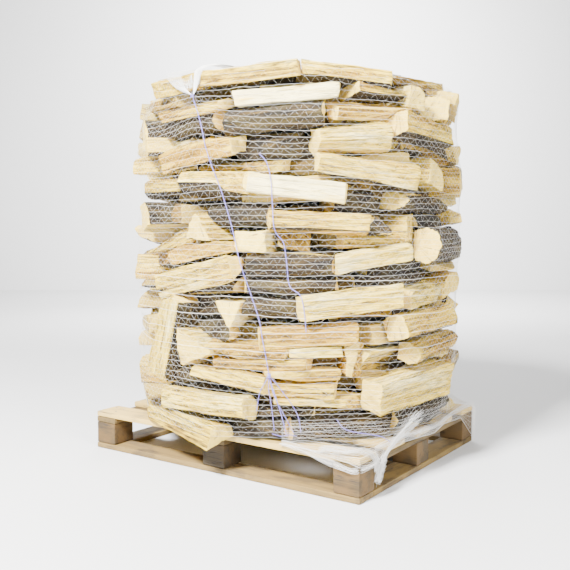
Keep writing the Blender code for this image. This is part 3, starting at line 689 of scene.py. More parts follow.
def trim(shape: bmesh.types.BMesh, other: bmesh.types.BMesh) -> None:
    """Cut a log back by the face of another that takes the least of it."""
    for face in shape.faces:
        start = face.verts[0].co
        if min(face.normal.dot(vert.co - start) for vert in other.verts) >= LOG_GAP:
            return
    planes = []
    for face in other.faces:
        start = face.verts[0].co + face.normal * LOG_GAP
        if max(face.normal.dot(start - vert.co) for vert in shape.verts) <= 0:
            return
        planes.append((start, face.normal.copy()))
    cut(shape, *max(planes, key=lambda plane: volume_left(shape, *plane)))


def slice_through(shape: bmesh.types.BMesh, axis: int, step: float) -> None:
    """Add edge loops across an axis, so that a shape can carry relief.

    Args:
        shape: The shape, in its own axes.
        axis: 0, 1 or 2.
        step: The distance between the loops.
    """
    places = [vert.co[axis] for vert in shape.verts]
    low, high = min(places), max(places)
    count = max(int(round((high - low) / step)), 1)
    normal = Vector((0, 0, 0))
    normal[axis] = 1.0
    for index in range(1, count):
        bmesh.ops.bisect_plane(shape, geom=everything(shape), dist=1e-5,
                               plane_co=normal * (low + (high - low) * index / count), plane_no=normal)


def bevel_sharp(shape: bmesh.types.BMesh, width: float, least: float = 24.0) -> None:
    """Round the edges that turn by more than an angle.

    Args:
        shape: The shape.
        width: The bevel's width.
        least: The least angle, in degrees.
    """
    edges = [edge for edge in shape.edges if edge.calc_face_angle(0.0) > math.radians(least)]
    bmesh.ops.bevel(shape, geom=edges, offset=width, offset_type="OFFSET", segments=2, profile=0.5,
                    affect="EDGES", material=-1, clamp_overlap=True)


def soften(shape: bmesh.types.BMesh, angle: float = 34.0) -> None:
    """Shade a shape smoothly, but for its sharp edges."""
    for face in shape.faces:
        face.smooth = True
    for edge in shape.edges:
        edge.smooth = edge.calc_face_angle(0.0) < math.radians(angle)


def place_in_scene(name: str, shape: bmesh.types.BMesh, materials: Iterable[bpy.types.Material]) -> bpy.types.Object:
    """Turn a shape into an object that sits at the origin.

    Args:
        name: The object's name.
        shape: The shape, which is freed.
        materials: The object's material slots.

    Returns:
        The object.
    """
    mesh = bpy.data.meshes.new(name)
    shape.to_mesh(mesh)
    shape.free()
    for material in materials:
        mesh.materials.append(material)
    item = bpy.data.objects.new(name, mesh)
    bpy.context.scene.collection.objects.link(item)
    return item


def joined(name: str, items: list[bpy.types.Object]) -> bpy.types.Object:
    """Join objects that have the same material slots.

    Args:
        name: The joined object's name.
        items: The objects.

    Returns:
        The joined object.
    """
    with bpy.context.temp_override(active_object=items[0], selected_editable_objects=items,
                                   selected_objects=items, object=items[0]):
        bpy.ops.object.join()
    items[0].name = name
    items[0].data.name = name
    return items[0]


def register(item: bpy.types.Object, slot: str, *nodes: str) -> bpy.types.Object:
    """Make a piece ride on the stack and stand for nodes.

    Args:
        item: The piece.
        slot: The record's material slot, which is not used.
        nodes: The nodes that it stands for.

    Returns:
        The piece.
    """
    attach(item, "root")
    if nodes:
        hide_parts(*nodes)
    LOG.info("%s: %d faces", item.name, len(item.data.polygons))
    return item


@dataclass
class SplitLog:
    """One log, from its size to its finished mesh."""

    size: LogSize
    index: int = 0
    shape: bmesh.types.BMesh | None = None
    low: np.ndarray = field(default_factory=lambda: np.zeros(3))
    high: np.ndarray = field(default_factory=lambda: np.zeros(3))

    @property
    def matrix(self) -> Matrix:
        """The log's own axes (along, outwards, upwards) and its place."""
        size = self.size
        turn = math.radians(size.turn)
        beyond = abs(math.sin(turn)) * size.length / 2 + abs(math.cos(turn)) * size.depth / 2
        centre = STACK_CENTRE + direction(size.bearing) * (size.reach - beyond) + Vector((0, 0, size.height))
        facing = Matrix.Rotation(math.radians(FRONT_ANGLE + size.bearing + 90), 4, "Z")
        tilt = Matrix.Rotation(math.radians(-size.tilt), 4, "Y")
        roll = Matrix.Rotation(math.radians(size.roll), 4, "X")
        return Matrix.Translation(centre) @ facing @ Matrix.Rotation(turn, 4, "Z") @ tilt @ roll

    def lay(self) -> None:
        """Make the log's plain shape: its section, run from its left end to its right end."""
        size = self.size
        section = SECTIONS[size.section]
        shape = bmesh.new()
        left = 1.0 if size.taper <= 1.0 else 1.0 / size.taper
        right = size.taper if size.taper <= 1.0 else 1.0
        corners = [shape.verts.new((-size.length / 2, -size.depth / 2 * out * left, size.rise / 2 * up * left))
                   for out, up in section.corners]
        start = shape.faces.new(corners)
        moved = bmesh.ops.extrude_face_region(shape, geom=[start])["geom"]
        far = [item for item in moved if isinstance(item, bmesh.types.BMVert)]
        bmesh.ops.scale(shape, vec=(1, right / left, right / left), verts=far)
        bmesh.ops.translate(shape, vec=(size.length, 0, 0), verts=far)
        shape.faces.ensure_lookup_table()
        for face in shape.faces:
            if len({round(vert.co.x, 5) for vert in face.verts}) == 1:
                face.material_index = Surface.SAWN.value
        if size.bark:
            for edge in section.bark:
                ends = (corners[edge], corners[(edge + 1) % len(corners)])
                for face in shape.faces:
                    if all(end in face.verts for end in ends) and face.material_index == 0:
                        face.material_index = Surface.BARK.value
        bmesh.ops.transform(shape, matrix=self.matrix, verts=shape.verts)
        sides_outward(shape)
        self.shape = shape
        self.measure()

    def measure(self) -> None:
        """Refresh the log's box."""
        places = np.array([vert.co[:] for vert in self.shape.verts])
        self.low, self.high = places.min(0), places.max(0)

    def settle(self, others: list["SplitLog"]) -> bool:
        """Trim the log where it would enter the others.

        Args:
            others: The logs that are laid already.

        Returns:
            Whether enough of the log is left.
        """
        self.lay()
        whole = abs(self.shape.calc_volume())
        floor = 0.0 if self.size.section == "overhang" else DECK_TOP + LOG_GAP
        cut(self.shape, Vector((0, 0, floor)), Vector((0, 0, 1)))
        for other in others:
            if not self.shape.faces:
                return False
            if (self.low > other.high + LOG_GAP).any() or (other.low > self.high + LOG_GAP).any():
                continue
            trim(self.shape, other.shape)
            if self.shape.faces:
                self.measure()
        return bool(self.shape.faces) and abs(self.shape.calc_volume()) > SMALLEST_SHARE * whole

    def finish(self, name: str, materials: list[bpy.types.Material], along: float, across: float) -> bpy.types.Object:
        """Give the log its relief and its shading coordinates.

        Args:
            name: The object's name.
            materials: Split wood, sawn wood and bark.
            along: The distance between edge loops along the log.
            across: The distance between edge loops across it.

        Returns:
            The log as an object.
        """
        shape = self.shape.copy()
        matrix = self.matrix
        bmesh.ops.transform(shape, matrix=matrix.inverted(), verts=shape.verts)
        self._chip(shape)
        bevel_sharp(shape, 0.0028 + 0.0036 * ((self.index * 0.618) % 1.0))
        slice_through(shape, 0, along)
        slice_through(shape, 1, across)
        slice_through(shape, 2, across)
        self._relieve(shape)
        self._mark(shape)
        bmesh.ops.transform(shape, matrix=matrix, verts=shape.verts)
        sides_outward(shape)
        soften(shape)
        return place_in_scene(name, shape, materials)

    def _chip(self, shape: bmesh.types.BMesh) -> None:
        """Split narrow slivers off the log's long corners and slant its ends a little."""
        rng = random.Random(SEED + self.index)
        front = self.size.name not in ("ring", "crown", "inner")
        planes = []
        for _ in range(3):
            angle = rng.uniform(0, math.tau)
            tilt = rng.uniform(-0.18, 0.18)
            planes.append((Vector((tilt, math.cos(angle), math.sin(angle))).normalized(),
                           rng.uniform(0.88, 0.97) if front else rng.uniform(0.80, 0.95)))
        for side in (-1, 1, -1, 1):
            planes.append((Vector((side, rng.uniform(-0.45, 0.45), rng.uniform(-0.45, 0.45))).normalized(),
                           rng.uniform(0.935, 0.985)))
        for normal, share in planes:
            centre = sum((vert.co for vert in shape.verts), Vector()) / len(shape.verts)
            reach = max(normal.dot(vert.co - centre) for vert in shape.verts)
            ends = [face for face in shape.faces if face.material_index == Surface.SAWN.value]
            cut(shape, centre + normal * reach * share, -normal)
            if abs(normal.x) > 0.7 and ends:
                for face in shape.faces:
                    if face.normal.dot(normal) > 0.999:
                        face.material_index = Surface.SAWN.value

    def _relieve(self, shape: bmesh.types.BMesh) -> None:
        """Raise and lower the sides: a slow wave, torn ridges along the grain and bark plates."""
        shift = Vector((self.index * 3.7, self.index * 1.3, 0))
        bow = 0.008 * noise.noise(Vector((self.index * 2.1, 0.5, 0.5)))
        half = self.size.length / 2
        places = []
        for vert in shape.verts:
            point = vert.co
            barked = any(face.material_index == Surface.BARK.value for face in vert.link_faces)
            slow = noise.noise(Vector((point.x * 7, point.y * 14, point.z * 14)) + shift)
            ridge = noise.noise(Vector((point.x * 4, point.y * 105, point.z * 105)) + shift)
            fine = noise.noise(Vector((point.x * 16, point.y * 210, point.z * 210)) - shift)
            torn = noise.noise(Vector((point.x * 17, point.y * 34, point.z * 34)) + shift)
            lift = 0.0075 * slow + 0.0042 * torn + (0.0040 * ridge + 0.0016 * fine if barked else 0.0034 * ridge + 0.0014 * fine)
            radial = Vector((0, point.y, point.z))
            if radial.length > 1e-6:
                radial *= min(radial.length / 0.03, 1.0) / radial.length
            offset = radial * (lift - 0.0020)
            offset.y += bow * (point.x / half) ** 2
            end_wave = noise.noise(Vector((point.y * 22, point.z * 22, 3.0 + round(point.x / half))) + shift)
            offset.x += 0.007 * end_wave if abs(point.x) > half - 0.004 else 0.0
            places.append(offset)
        for vert, offset in zip(shape.verts, places):
            vert.co += offset

    def _mark(self, shape: bmesh.types.BMesh) -> None:
        """Store each corner's place in the log, from its pith, and the log's tone, whose light part is painted shade
        on recessed and inner logs.
        """
        size = self.size
        pith = SECTIONS[size.section].pith
        origin = Vector((self.index * 0.9, pith[0] * -size.depth / 2, pith[1] * size.rise / 2))
        space = shape.verts.layers.float_vector.new("log_space")
        tone = shape.verts.layers.float_vector.new("log_tone")
        look = Vector((size.warmth, size.light, (self.index * 0.377) % 1.0))
        for vert in shape.verts:
            vert[space] = Vector((vert.co.x + origin.x, vert.co.y - origin.y, vert.co.z - origin.z))
            vert[tone] = look


class FirewoodStack:
    """Every log of the stack, laid one by one on the side that is seen and by rule elsewhere."""

    def __init__(self) -> None:
        """Start an empty stack."""
        self.rng = random.Random(SEED)
        self.look = random.Random(SEED + 1)
        self.front: list[SplitLog] = []
        self.others: list[SplitLog] = []
        self.course_height = (STACK_TOP - DECK_TOP) / COURSES
        self.materials = [SplitWood().build(), SawnWood().build(), Bark().build()]

    def ring_sizes(self, height: float, rise: float) -> list[LogSize]:
        """Return one layer of logs round the stack, most of them along its side."""
        rng = self.rng
        sizes = []
        bearing = rng.uniform(0, 30)
        end = bearing + 360
        while bearing < end - 10:
            radial = rng.random() < 0.3
            width = rng.uniform(0.09, 0.12) if radial else LOG_LENGTH * rng.uniform(0.92, 1.04)
            step = math.degrees(width / 0.57)
            middle = bearing + step / 2
            facing_front = abs((middle + 180) % 360 - 180) < 70
            reach = rng.uniform(0.622, 0.650) - (0.067 if facing_front else 0.0)
            section = rng.choice(("slab", "slab", "wedge", "ramp", "plank"))
            depth = width if radial else rng.uniform(0.118, 0.135) + (0 if facing_front else 0.045)
            length = LOG_LENGTH if radial else width
            turn = rng.uniform(78, 96) if radial else rng.uniform(-7, 7)
            tilt = rng.uniform(-2, 2) if radial else rng.uniform(-7, 7)
            sizes.append(self.dressed("ring", middle, height, reach, length, depth,
                                      rise * rng.uniform(0.9, 1.08), turn, tilt, section))
            bearing += step
        return sizes

    def dressed(self, name: str, bearing: float, height: float, reach: float, length: float, depth: float,
                rise: float, turn: float, tilt: float, section: str) -> LogSize:
        """Return a seeded log's size with a fuller section and a look of its own."""
        look = self.look
        fuller = {"slab": ("split", "barrel", "slab"), "wedge": ("wedge", "boat"),
                  "ramp": ("ramp", "quarter"), "plank": ("plank", "split")}
        # The light, from 0.5 to 0.95, is a random tone kept below 1 as painted shade, to darken the logs behind and
        # around the front ones.
        return LogSize(name, bearing, height, reach, length, depth, rise, turn, tilt,
                       look.choice(fuller[section]), 1.0, look.uniform(0.05, 0.8), look.uniform(0.50, 0.95),
                       look.random() < 0.8, 12 * math.sin(7 * bearing) if name == "ring" else 0.0)

    def crown_sizes(self) -> list[LogSize]:
        """Return the loose logs that crown the stack."""
        rng = self.rng
        sizes = []
        for radius, count in ((0.09, 2), (0.24, 4), (0.385, 7), (0.52, 9)):
            offset = rng.uniform(0, 360)
            for index in range(count):
                bearing = offset + index * 360 / count
                turn = rng.uniform(-14, 14)
                depth = rng.uniform(0.125, 0.150)
                height = STACK_TOP + 0.018 - 0.02 * (radius > 0.4)
                rise, tilt = rng.uniform(0.070, 0.085), rng.uniform(-3, 3)
                sizes.append(self.dressed("crown", bearing, height, radius + depth / 2, LOG_LENGTH * 0.95,
                                          depth, rise, turn, tilt, rng.choice(("slab", "ramp"))))
        return sizes

    def inner_sizes(self, height: float, rise: float) -> list[LogSize]:
        """Return one layer of the logs inside the stack, which show only through gaps. Their light of 0.2 is painted
        shade.
        """
        look = self.look
        return [LogSize("inner", index * 360 / count + height * 400, height, radius + 0.06, LOG_LENGTH, 0.12,
                        rise, look.uniform(-12, 12), 0.0, "split", 1.0, 0.6, 0.20)
                for radius, count in ((0.08, 2), (0.20, 4), (0.33, 6), (0.45, 8)) for index in range(count)]

    def lay(self) -> None:
        """Lay every log, each clear of those before it."""
        placed: list[SplitLog] = []
        for size in FRONT_LOGS:
            log = SplitLog(size, len(placed))
            log.settle(placed)
            placed.append(log)
            self.front.append(log)
        layer_height = self.course_height / LAYERS_PER_COURSE
        sizes: list[LogSize] = list(BETWEEN_LOGS)
        for layer in range(COURSES * LAYERS_PER_COURSE):
            sizes += self.ring_sizes(DECK_TOP + (layer + 0.5) * layer_height, layer_height * 0.98)
        sizes += self.crown_sizes()
        for size in sizes:
            log = SplitLog(size, len(placed))
            if log.settle(placed):
                placed.append(log)
                self.others.append(log)

    def course_of(self, log: SplitLog) -> int:
        """Return the number of the course that a log belongs to."""
        return min(max(int((log.size.height - DECK_TOP) / self.course_height), 0), COURSES - 1)

    def finish_front(self) -> list[bpy.types.Object]:
        """Make the front logs' pieces and return them."""
        pieces = []
        for log in self.front:
            barked = log.size.section == "barrel" and log.size.bark
            slot = "bark" if barked else "fresh_wood"
            item = log.finish(f"wood_{log.size.name}", self.materials, 0.020, 0.0055)
            pieces.append(register(item, slot, log.size.name))
        return pieces

    def finish_courses(self) -> list[bpy.types.Object]:
        """Make the other logs' pieces, one for each course, and return them."""
        pieces = []
        layer_height = self.course_height / LAYERS_PER_COURSE
        for course in range(COURSES):
            items = []
            for log in self.others:
                if self.course_of(log) == course:
                    seen = log.size.name not in ("ring", "crown")
                    along, across = (0.022, 0.007) if seen else (0.040, 0.013)
                    items.append(log.finish("log", self.materials, along, across))
            for layer in range(LAYERS_PER_COURSE):
                height = DECK_TOP + (course * LAYERS_PER_COURSE + layer + 0.5) * layer_height
                for size in self.inner_sizes(height, layer_height * 0.9):
                    log = SplitLog(size, len(items))
                    log.lay()
                    items.append(log.finish("log", self.materials, 1.0, 1.0))
            if course == COURSES - 1:
                for size in self.inner_sizes(STACK_TOP + 0.016, 0.055):
                    log = SplitLog(size, len(items))
                    log.lay()
                    items.append(log.finish("log", self.materials, 1.0, 1.0))
            item = joined(f"course_{course + 1}_logs", items)
            pieces.append(register(item, "stacked_wood", f"log_course_{course + 1}"))
        return pieces

    def build(self) -> list[bpy.types.Object]:
        """Lay and finish the stack, and return its pieces."""
        self.lay()
        LOG.info("laid %d front logs and %d others", len(self.front), len(self.others))
        return self.finish_front() + self.finish_courses()


@dataclass
class Pallet:
    """The pallet's boards and blocks, with worn edges, relief and nails."""

    edge: float = 0.0025
    nail_radius: float = 0.0045

    def build(self) -> None:
        """Replace each board and block with a worn one."""
        finishes = {
            "deck_board": PalletWood("deck_wood", (0.66, 0.45, 0.12), (0.42, 0.30, 0.12), weathering=0.35).build(),
            "pallet_board": PalletWood("weathered_board", (0.25, 0.160, 0.046), (0.15, 0.098, 0.038)).build(),
            "pallet_block": PalletWood("weathered_block", (0.135, 0.076, 0.021), (0.080, 0.052, 0.019)).build(),
        }
        for index, row in enumerate(sorted(frame["record"]["subparts"], key=lambda row: row["node"])):
            node, slot = row["node"], row["material_slot"]
            if slot in finishes:
                item = self.board(node, index, finishes[slot])
                register(item, slot, node)
        self.nails()

    def board(self, node: str, index: int, material: bpy.types.Material) -> bpy.types.Object:
        """Make one worn board or block in the place of its node.

        Args:
            node: The node's name.
            index: The board's number, which sets its grain.
            material: Its material.

        Returns:
            The board.
        """
        low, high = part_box(node)
        size = high - low
        middle = (low + high) / 2
        shape = bmesh.new()
        bmesh.ops.create_cube(shape, size=1.0)
        bmesh.ops.scale(shape, vec=size, verts=shape.verts)
        bevel_sharp(shape, self.edge)
        grain = 1 if size.y > size.x and "block" not in node else 0
        for axis in range(3):
            slice_through(shape, axis, 0.030 if axis == grain else 0.011)
        places = []
        for vert in shape.verts:
            point = vert.co.copy()
            if grain == 1:
                point.x, point.y = point.y, point.x
            wave = noise.noise(Vector((point.x * 5, point.y * 30, point.z * 30)) + Vector((index * 5.1, 0, 0)))
            ridge = noise.noise(Vector((point.x * 6, point.y * 130, point.z * 130)) + Vector((index * 3.3, 0, 0)))
            places.append(vert.normal * (0.0006 * wave + 0.0006 * ridge - 0.0009))
        space = shape.verts.layers.float_vector.new("log_space")
        tone = shape.verts.layers.float_vector.new("log_tone")
        # A little random change in tone, times painted shade: darker for the pieces under the deck, and 0.55 for the
        # inner blocks, which the deck keeps in shade.
        light = 0.92 + 0.16 * noise.noise(Vector((index * 1.7, 0.2, 0.4)))
        light *= BOARD_PAINTED_SHADE.get(node, 0.55 if node.startswith(("block_middle", "block_back")) else 1.0)
        for vert, offset in zip(shape.verts, places):
            x, y, z = vert.co
            along, across = (y, x) if grain == 1 else (x, y)
            vert[space] = Vector((along + index * 0.9, across, z))
            vert[tone] = Vector((0.4, light, (index * 0.377) % 1.0))
            vert.co += offset + middle
        sides_outward(shape)
        soften(shape)
        return place_in_scene(f"worn_{node}", shape, [material])

    def nails(self) -> None:
        """Add the nail heads, sunk a little into the deck boards."""
        shape = bmesh.new()
        for node in (f"deck_board_{index + 1}" for index in range(5)):
            low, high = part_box(node)
            middle = (low.y + high.y) / 2
            for x in (-0.55, 0.0, 0.55):
                for dx, dy in ((-0.025, 0.028), (0.025, -0.028), (0.020, 0.022)):
                    spot = Vector((x + dx, middle + dy, high.z - 0.0006))
                    self._nail(shape, Matrix.Translation(spot))
        item = place_in_scene("nail_heads", shape, [Steel().build()])
        register(item, "deck_board")

    def _nail(self, shape: bmesh.types.BMesh, matrix: Matrix) -> None:
        """Add one nail head."""
        bmesh.ops.create_cone(shape, cap_ends=True, segments=10, radius1=self.nail_radius,
                              radius2=self.nail_radius * 0.8, depth=0.0022, matrix=matrix)


class NetSurface:
    """The skin that the net makes round the logs.

    It is a grid of points. Each slides on its own ray towards the stack and stops at the
    first log, and between logs the net's pull holds it out.
    """

    columns = 240
    foot = 0.165
    shoulder = 1.335
    step = 0.015

    def __init__(self, tree: BVHTree) -> None:
        """Cast the rays and pull the skin tight.

        Args:
            tree: The finished logs.
        """
        profile = np.array(self._profile())
        self.side_rows = int(round((self.shoulder - self.foot) / self.step)) + 1
        self.rows = len(profile)
        angle = np.radians(FRONT_ANGLE) + 2 * np.pi * np.arange(self.columns) / self.columns
        out = np.stack([np.cos(angle), np.sin(angle), np.zeros_like(angle)], axis=1)
        up = np.array([0.0, 0.0, 1.0])
        centre = np.array(STACK_CENTRE)
        self.origin = centre + out[None] * profile[:, None, 0:1] + up * profile[:, None, 1:2]
        self.ray = out[None] * profile[:, None, 2:3] + up * profile[:, None, 3:4]
        self.limit = np.empty((self.rows, self.columns))
        for row in range(self.rows):
            for column in range(self.columns):
                start, ray = Vector(self.origin[row, column]), Vector(self.ray[row, column])
                distance = tree.ray_cast(start, ray, 0.6)[3]
                self.limit[row, column] = 0.42 if distance is None else distance - 0.0015
        self.points = self._tighten(360)
        self.reach = np.hypot(self.points[..., 0] - centre[0], self.points[..., 1] - centre[1])

    def _profile(self) -> list[tuple[float, float, float, float]]:
        """Return each row's ray as start radius, start height, and its two directions."""
        rows = []
        count = int(round((self.shoulder - self.foot) / self.step)) + 1
        for index in range(count):
            rows.append((0.85, self.foot + index * self.step, -1.0, 0.0))
        for degrees in range(10, 90, 10):
            angle = math.radians(degrees)
            rows.append((0.50 + 0.35 * math.cos(angle), self.shoulder + 0.35 * math.sin(angle),
                         -math.cos(angle), -math.sin(angle)))
        for index in range(17):
            rows.append((0.50 - index * 0.030, self.shoulder + 0.35, 0.0, -1.0))
        return rows

    def _tighten(self, rounds: int) -> np.ndarray:
        """Pull every point towards the middle of its neighbours, as far as the logs allow.

        Args:
            rounds: How often the points are moved.

        Returns:
            The points, by row and column.
        """
        distance = self.limit.copy()
        points = self.origin + self.ray * distance[..., None]
        for _ in range(rounds):
            beside = (np.roll(points, 1, axis=1) + np.roll(points, -1, axis=1)) / 2
            above = beside.copy()
            above[1:-1] = (points[:-2] + points[2:]) / 2
            goal = beside * 0.58 + above * 0.42
            distance = np.minimum(self.limit, np.sum((goal - self.origin) * self.ray, axis=2))
            points = self.origin + self.ray * distance[..., None]
        return points

    def row_of(self, height: Any) -> Any:
        """Return the row of a height on the side of the stack."""
        return (height - self.foot) / self.step

    def at(self, bearing: Any, row: Any, clearance: float = 0.0) -> np.ndarray:
        """Return places on the skin.

        Args:
            bearing: Degrees round the stack.
            row: Rows, which may lie between two.
            clearance: How far the places stand off the skin.

        Returns:
            One place for each bearing and row.
        """
        column = (np.asarray(bearing, float) % 360) / 360 * self.columns
        row = np.clip(np.asarray(row, float), 0, self.rows - 1.001)
        first, low = np.floor(column).astype(int), np.floor(row).astype(int)
        side, rise = (column - first)[..., None], (row - low)[..., None]
        place = 0.0
        facing = 0.0
        for add_row, row_share in ((0, 1 - rise), (1, rise)):
            for add_column, column_share in ((0, 1 - side), (1, side)):
                spot = (low + add_row, (first + add_column) % self.columns)
                place = place + self.points[spot] * row_share * column_share
                facing = facing + self.ray[spot] * row_share * column_share
        return place - facing * clearance

    def row_at_radius(self, bearing: float, radius: float) -> float:
        """Return the row over the shoulder where the skin has this radius."""
        column = int(round((bearing % 360) / 360 * self.columns)) % self.columns
        start = self.side_rows - 2
        reach = np.maximum.accumulate(self.reach[start:, column][::-1])
        return float(np.interp(radius, reach, np.arange(self.rows - 1, start - 1, -1)))


def triangle_profile() -> bpy.types.Object:
    """Return a small triangle, the section of every thin thread."""
    curve = bpy.data.curves.new("thread_section", "CURVE")
    spline = curve.splines.new("POLY")
    spline.points.add(2)
    for index, point in enumerate(spline.points):
        angle = index * math.tau / 3
        point.co = (math.cos(angle), math.sin(angle), 0.0, 1.0)
    spline.use_cyclic_u = True
    item = bpy.data.objects.new("thread_section", curve)
    bpy.context.scene.collection.objects.link(item)
    return item


@dataclass
class Threads:
    """Threads that become the tubes of one piece."""

    name: str
    runs: list[tuple[np.ndarray, np.ndarray, bool]] = field(default_factory=list)

    def add(self, run: np.ndarray, radius: float | np.ndarray, closed: bool = False) -> None:
        """Add a thread.

        Args:
            run: The points that it passes.
            radius: Half its thickness, everywhere or at each point.
            closed: Whether its end meets its start.
        """
        run = np.asarray(run, float)
        self.runs.append((run, np.broadcast_to(radius, len(run)), closed))

    def build(self, material: bpy.types.Material, section: bpy.types.Object | None = None,
              smooth: int = 2) -> bpy.types.Object:
        """Make the tubes.

        Args:
            material: Their material.
            section: The section that thin threads share, at a radius of one metre, or None for round ones.
            smooth: The roundness of round ones.

        Returns:
            The piece.
        """
        curve = bpy.data.curves.new(self.name, "CURVE")
        curve.dimensions = "3D"
        curve.twist_mode = "MINIMUM"
        curve.use_fill_caps = True
        if section is None:
            curve.bevel_depth, curve.bevel_resolution = 1.0, smooth
        else:
            curve.bevel_mode, curve.bevel_object = "OBJECT", section
        for run, radius, closed in self.runs:
            spline = curve.splines.new("POLY")
            spline.points.add(len(run) - 1)
            spline.points.foreach_set("co", np.column_stack([run, np.ones(len(run))]).ravel())
            spline.points.foreach_set("radius", radius)
            spline.use_cyclic_u = closed
        source = bpy.data.objects.new(self.name, curve)
        bpy.context.scene.collection.objects.link(source)
        graph = bpy.context.evaluated_depsgraph_get()
        mesh = bpy.data.meshes.new_from_object(source.evaluated_get(graph))
        bpy.data.objects.remove(source)
        mesh.name = self.name
        mesh.materials.clear()
        mesh.materials.append(material)
        mesh.polygons.foreach_set("use_smooth", [True] * len(mesh.polygons))
        item = bpy.data.objects.new(self.name, mesh)
        bpy.context.scene.collection.objects.link(item)
        return item


def spread(points: np.ndarray, count: int) -> np.ndarray:
    """Return evenly spread points on a smooth line through the given ones.

    Args:
        points: The points that the line passes.
        count: How many points are wanted.

    Returns:
        The points.
    """
    points = np.asarray(points, float)
    place = np.linspace(0, len(points) - 1, count)
    start = np.minimum(place.astype(int), len(points) - 2)
    share = (place - start)[:, None]
    before, first = points[np.maximum(start - 1, 0)], points[start]
    second, after = points[start + 1], points[np.minimum(start + 2, len(points) - 1)]
    line = (2 * first + (second - before) * share
            + (2 * before - 5 * first + 4 * second - after) * share ** 2
            + (3 * first - before - 3 * second + after) * share ** 3)
    return line / 2


def ripple(*places: Any) -> np.ndarray:
    """Return smooth noise between about -1 and 1 for rows of numbers."""
    rows = np.broadcast_arrays(*[np.asarray(place, float) for place in places])
    flat = np.column_stack([row.ravel() for row in rows])
    flat = np.column_stack([flat, np.zeros((len(flat), 3 - flat.shape[1]))]) if flat.shape[1] < 3 else flat
    return np.array([noise.noise(Vector(row)) for row in flat]).reshape(rows[0].shape)


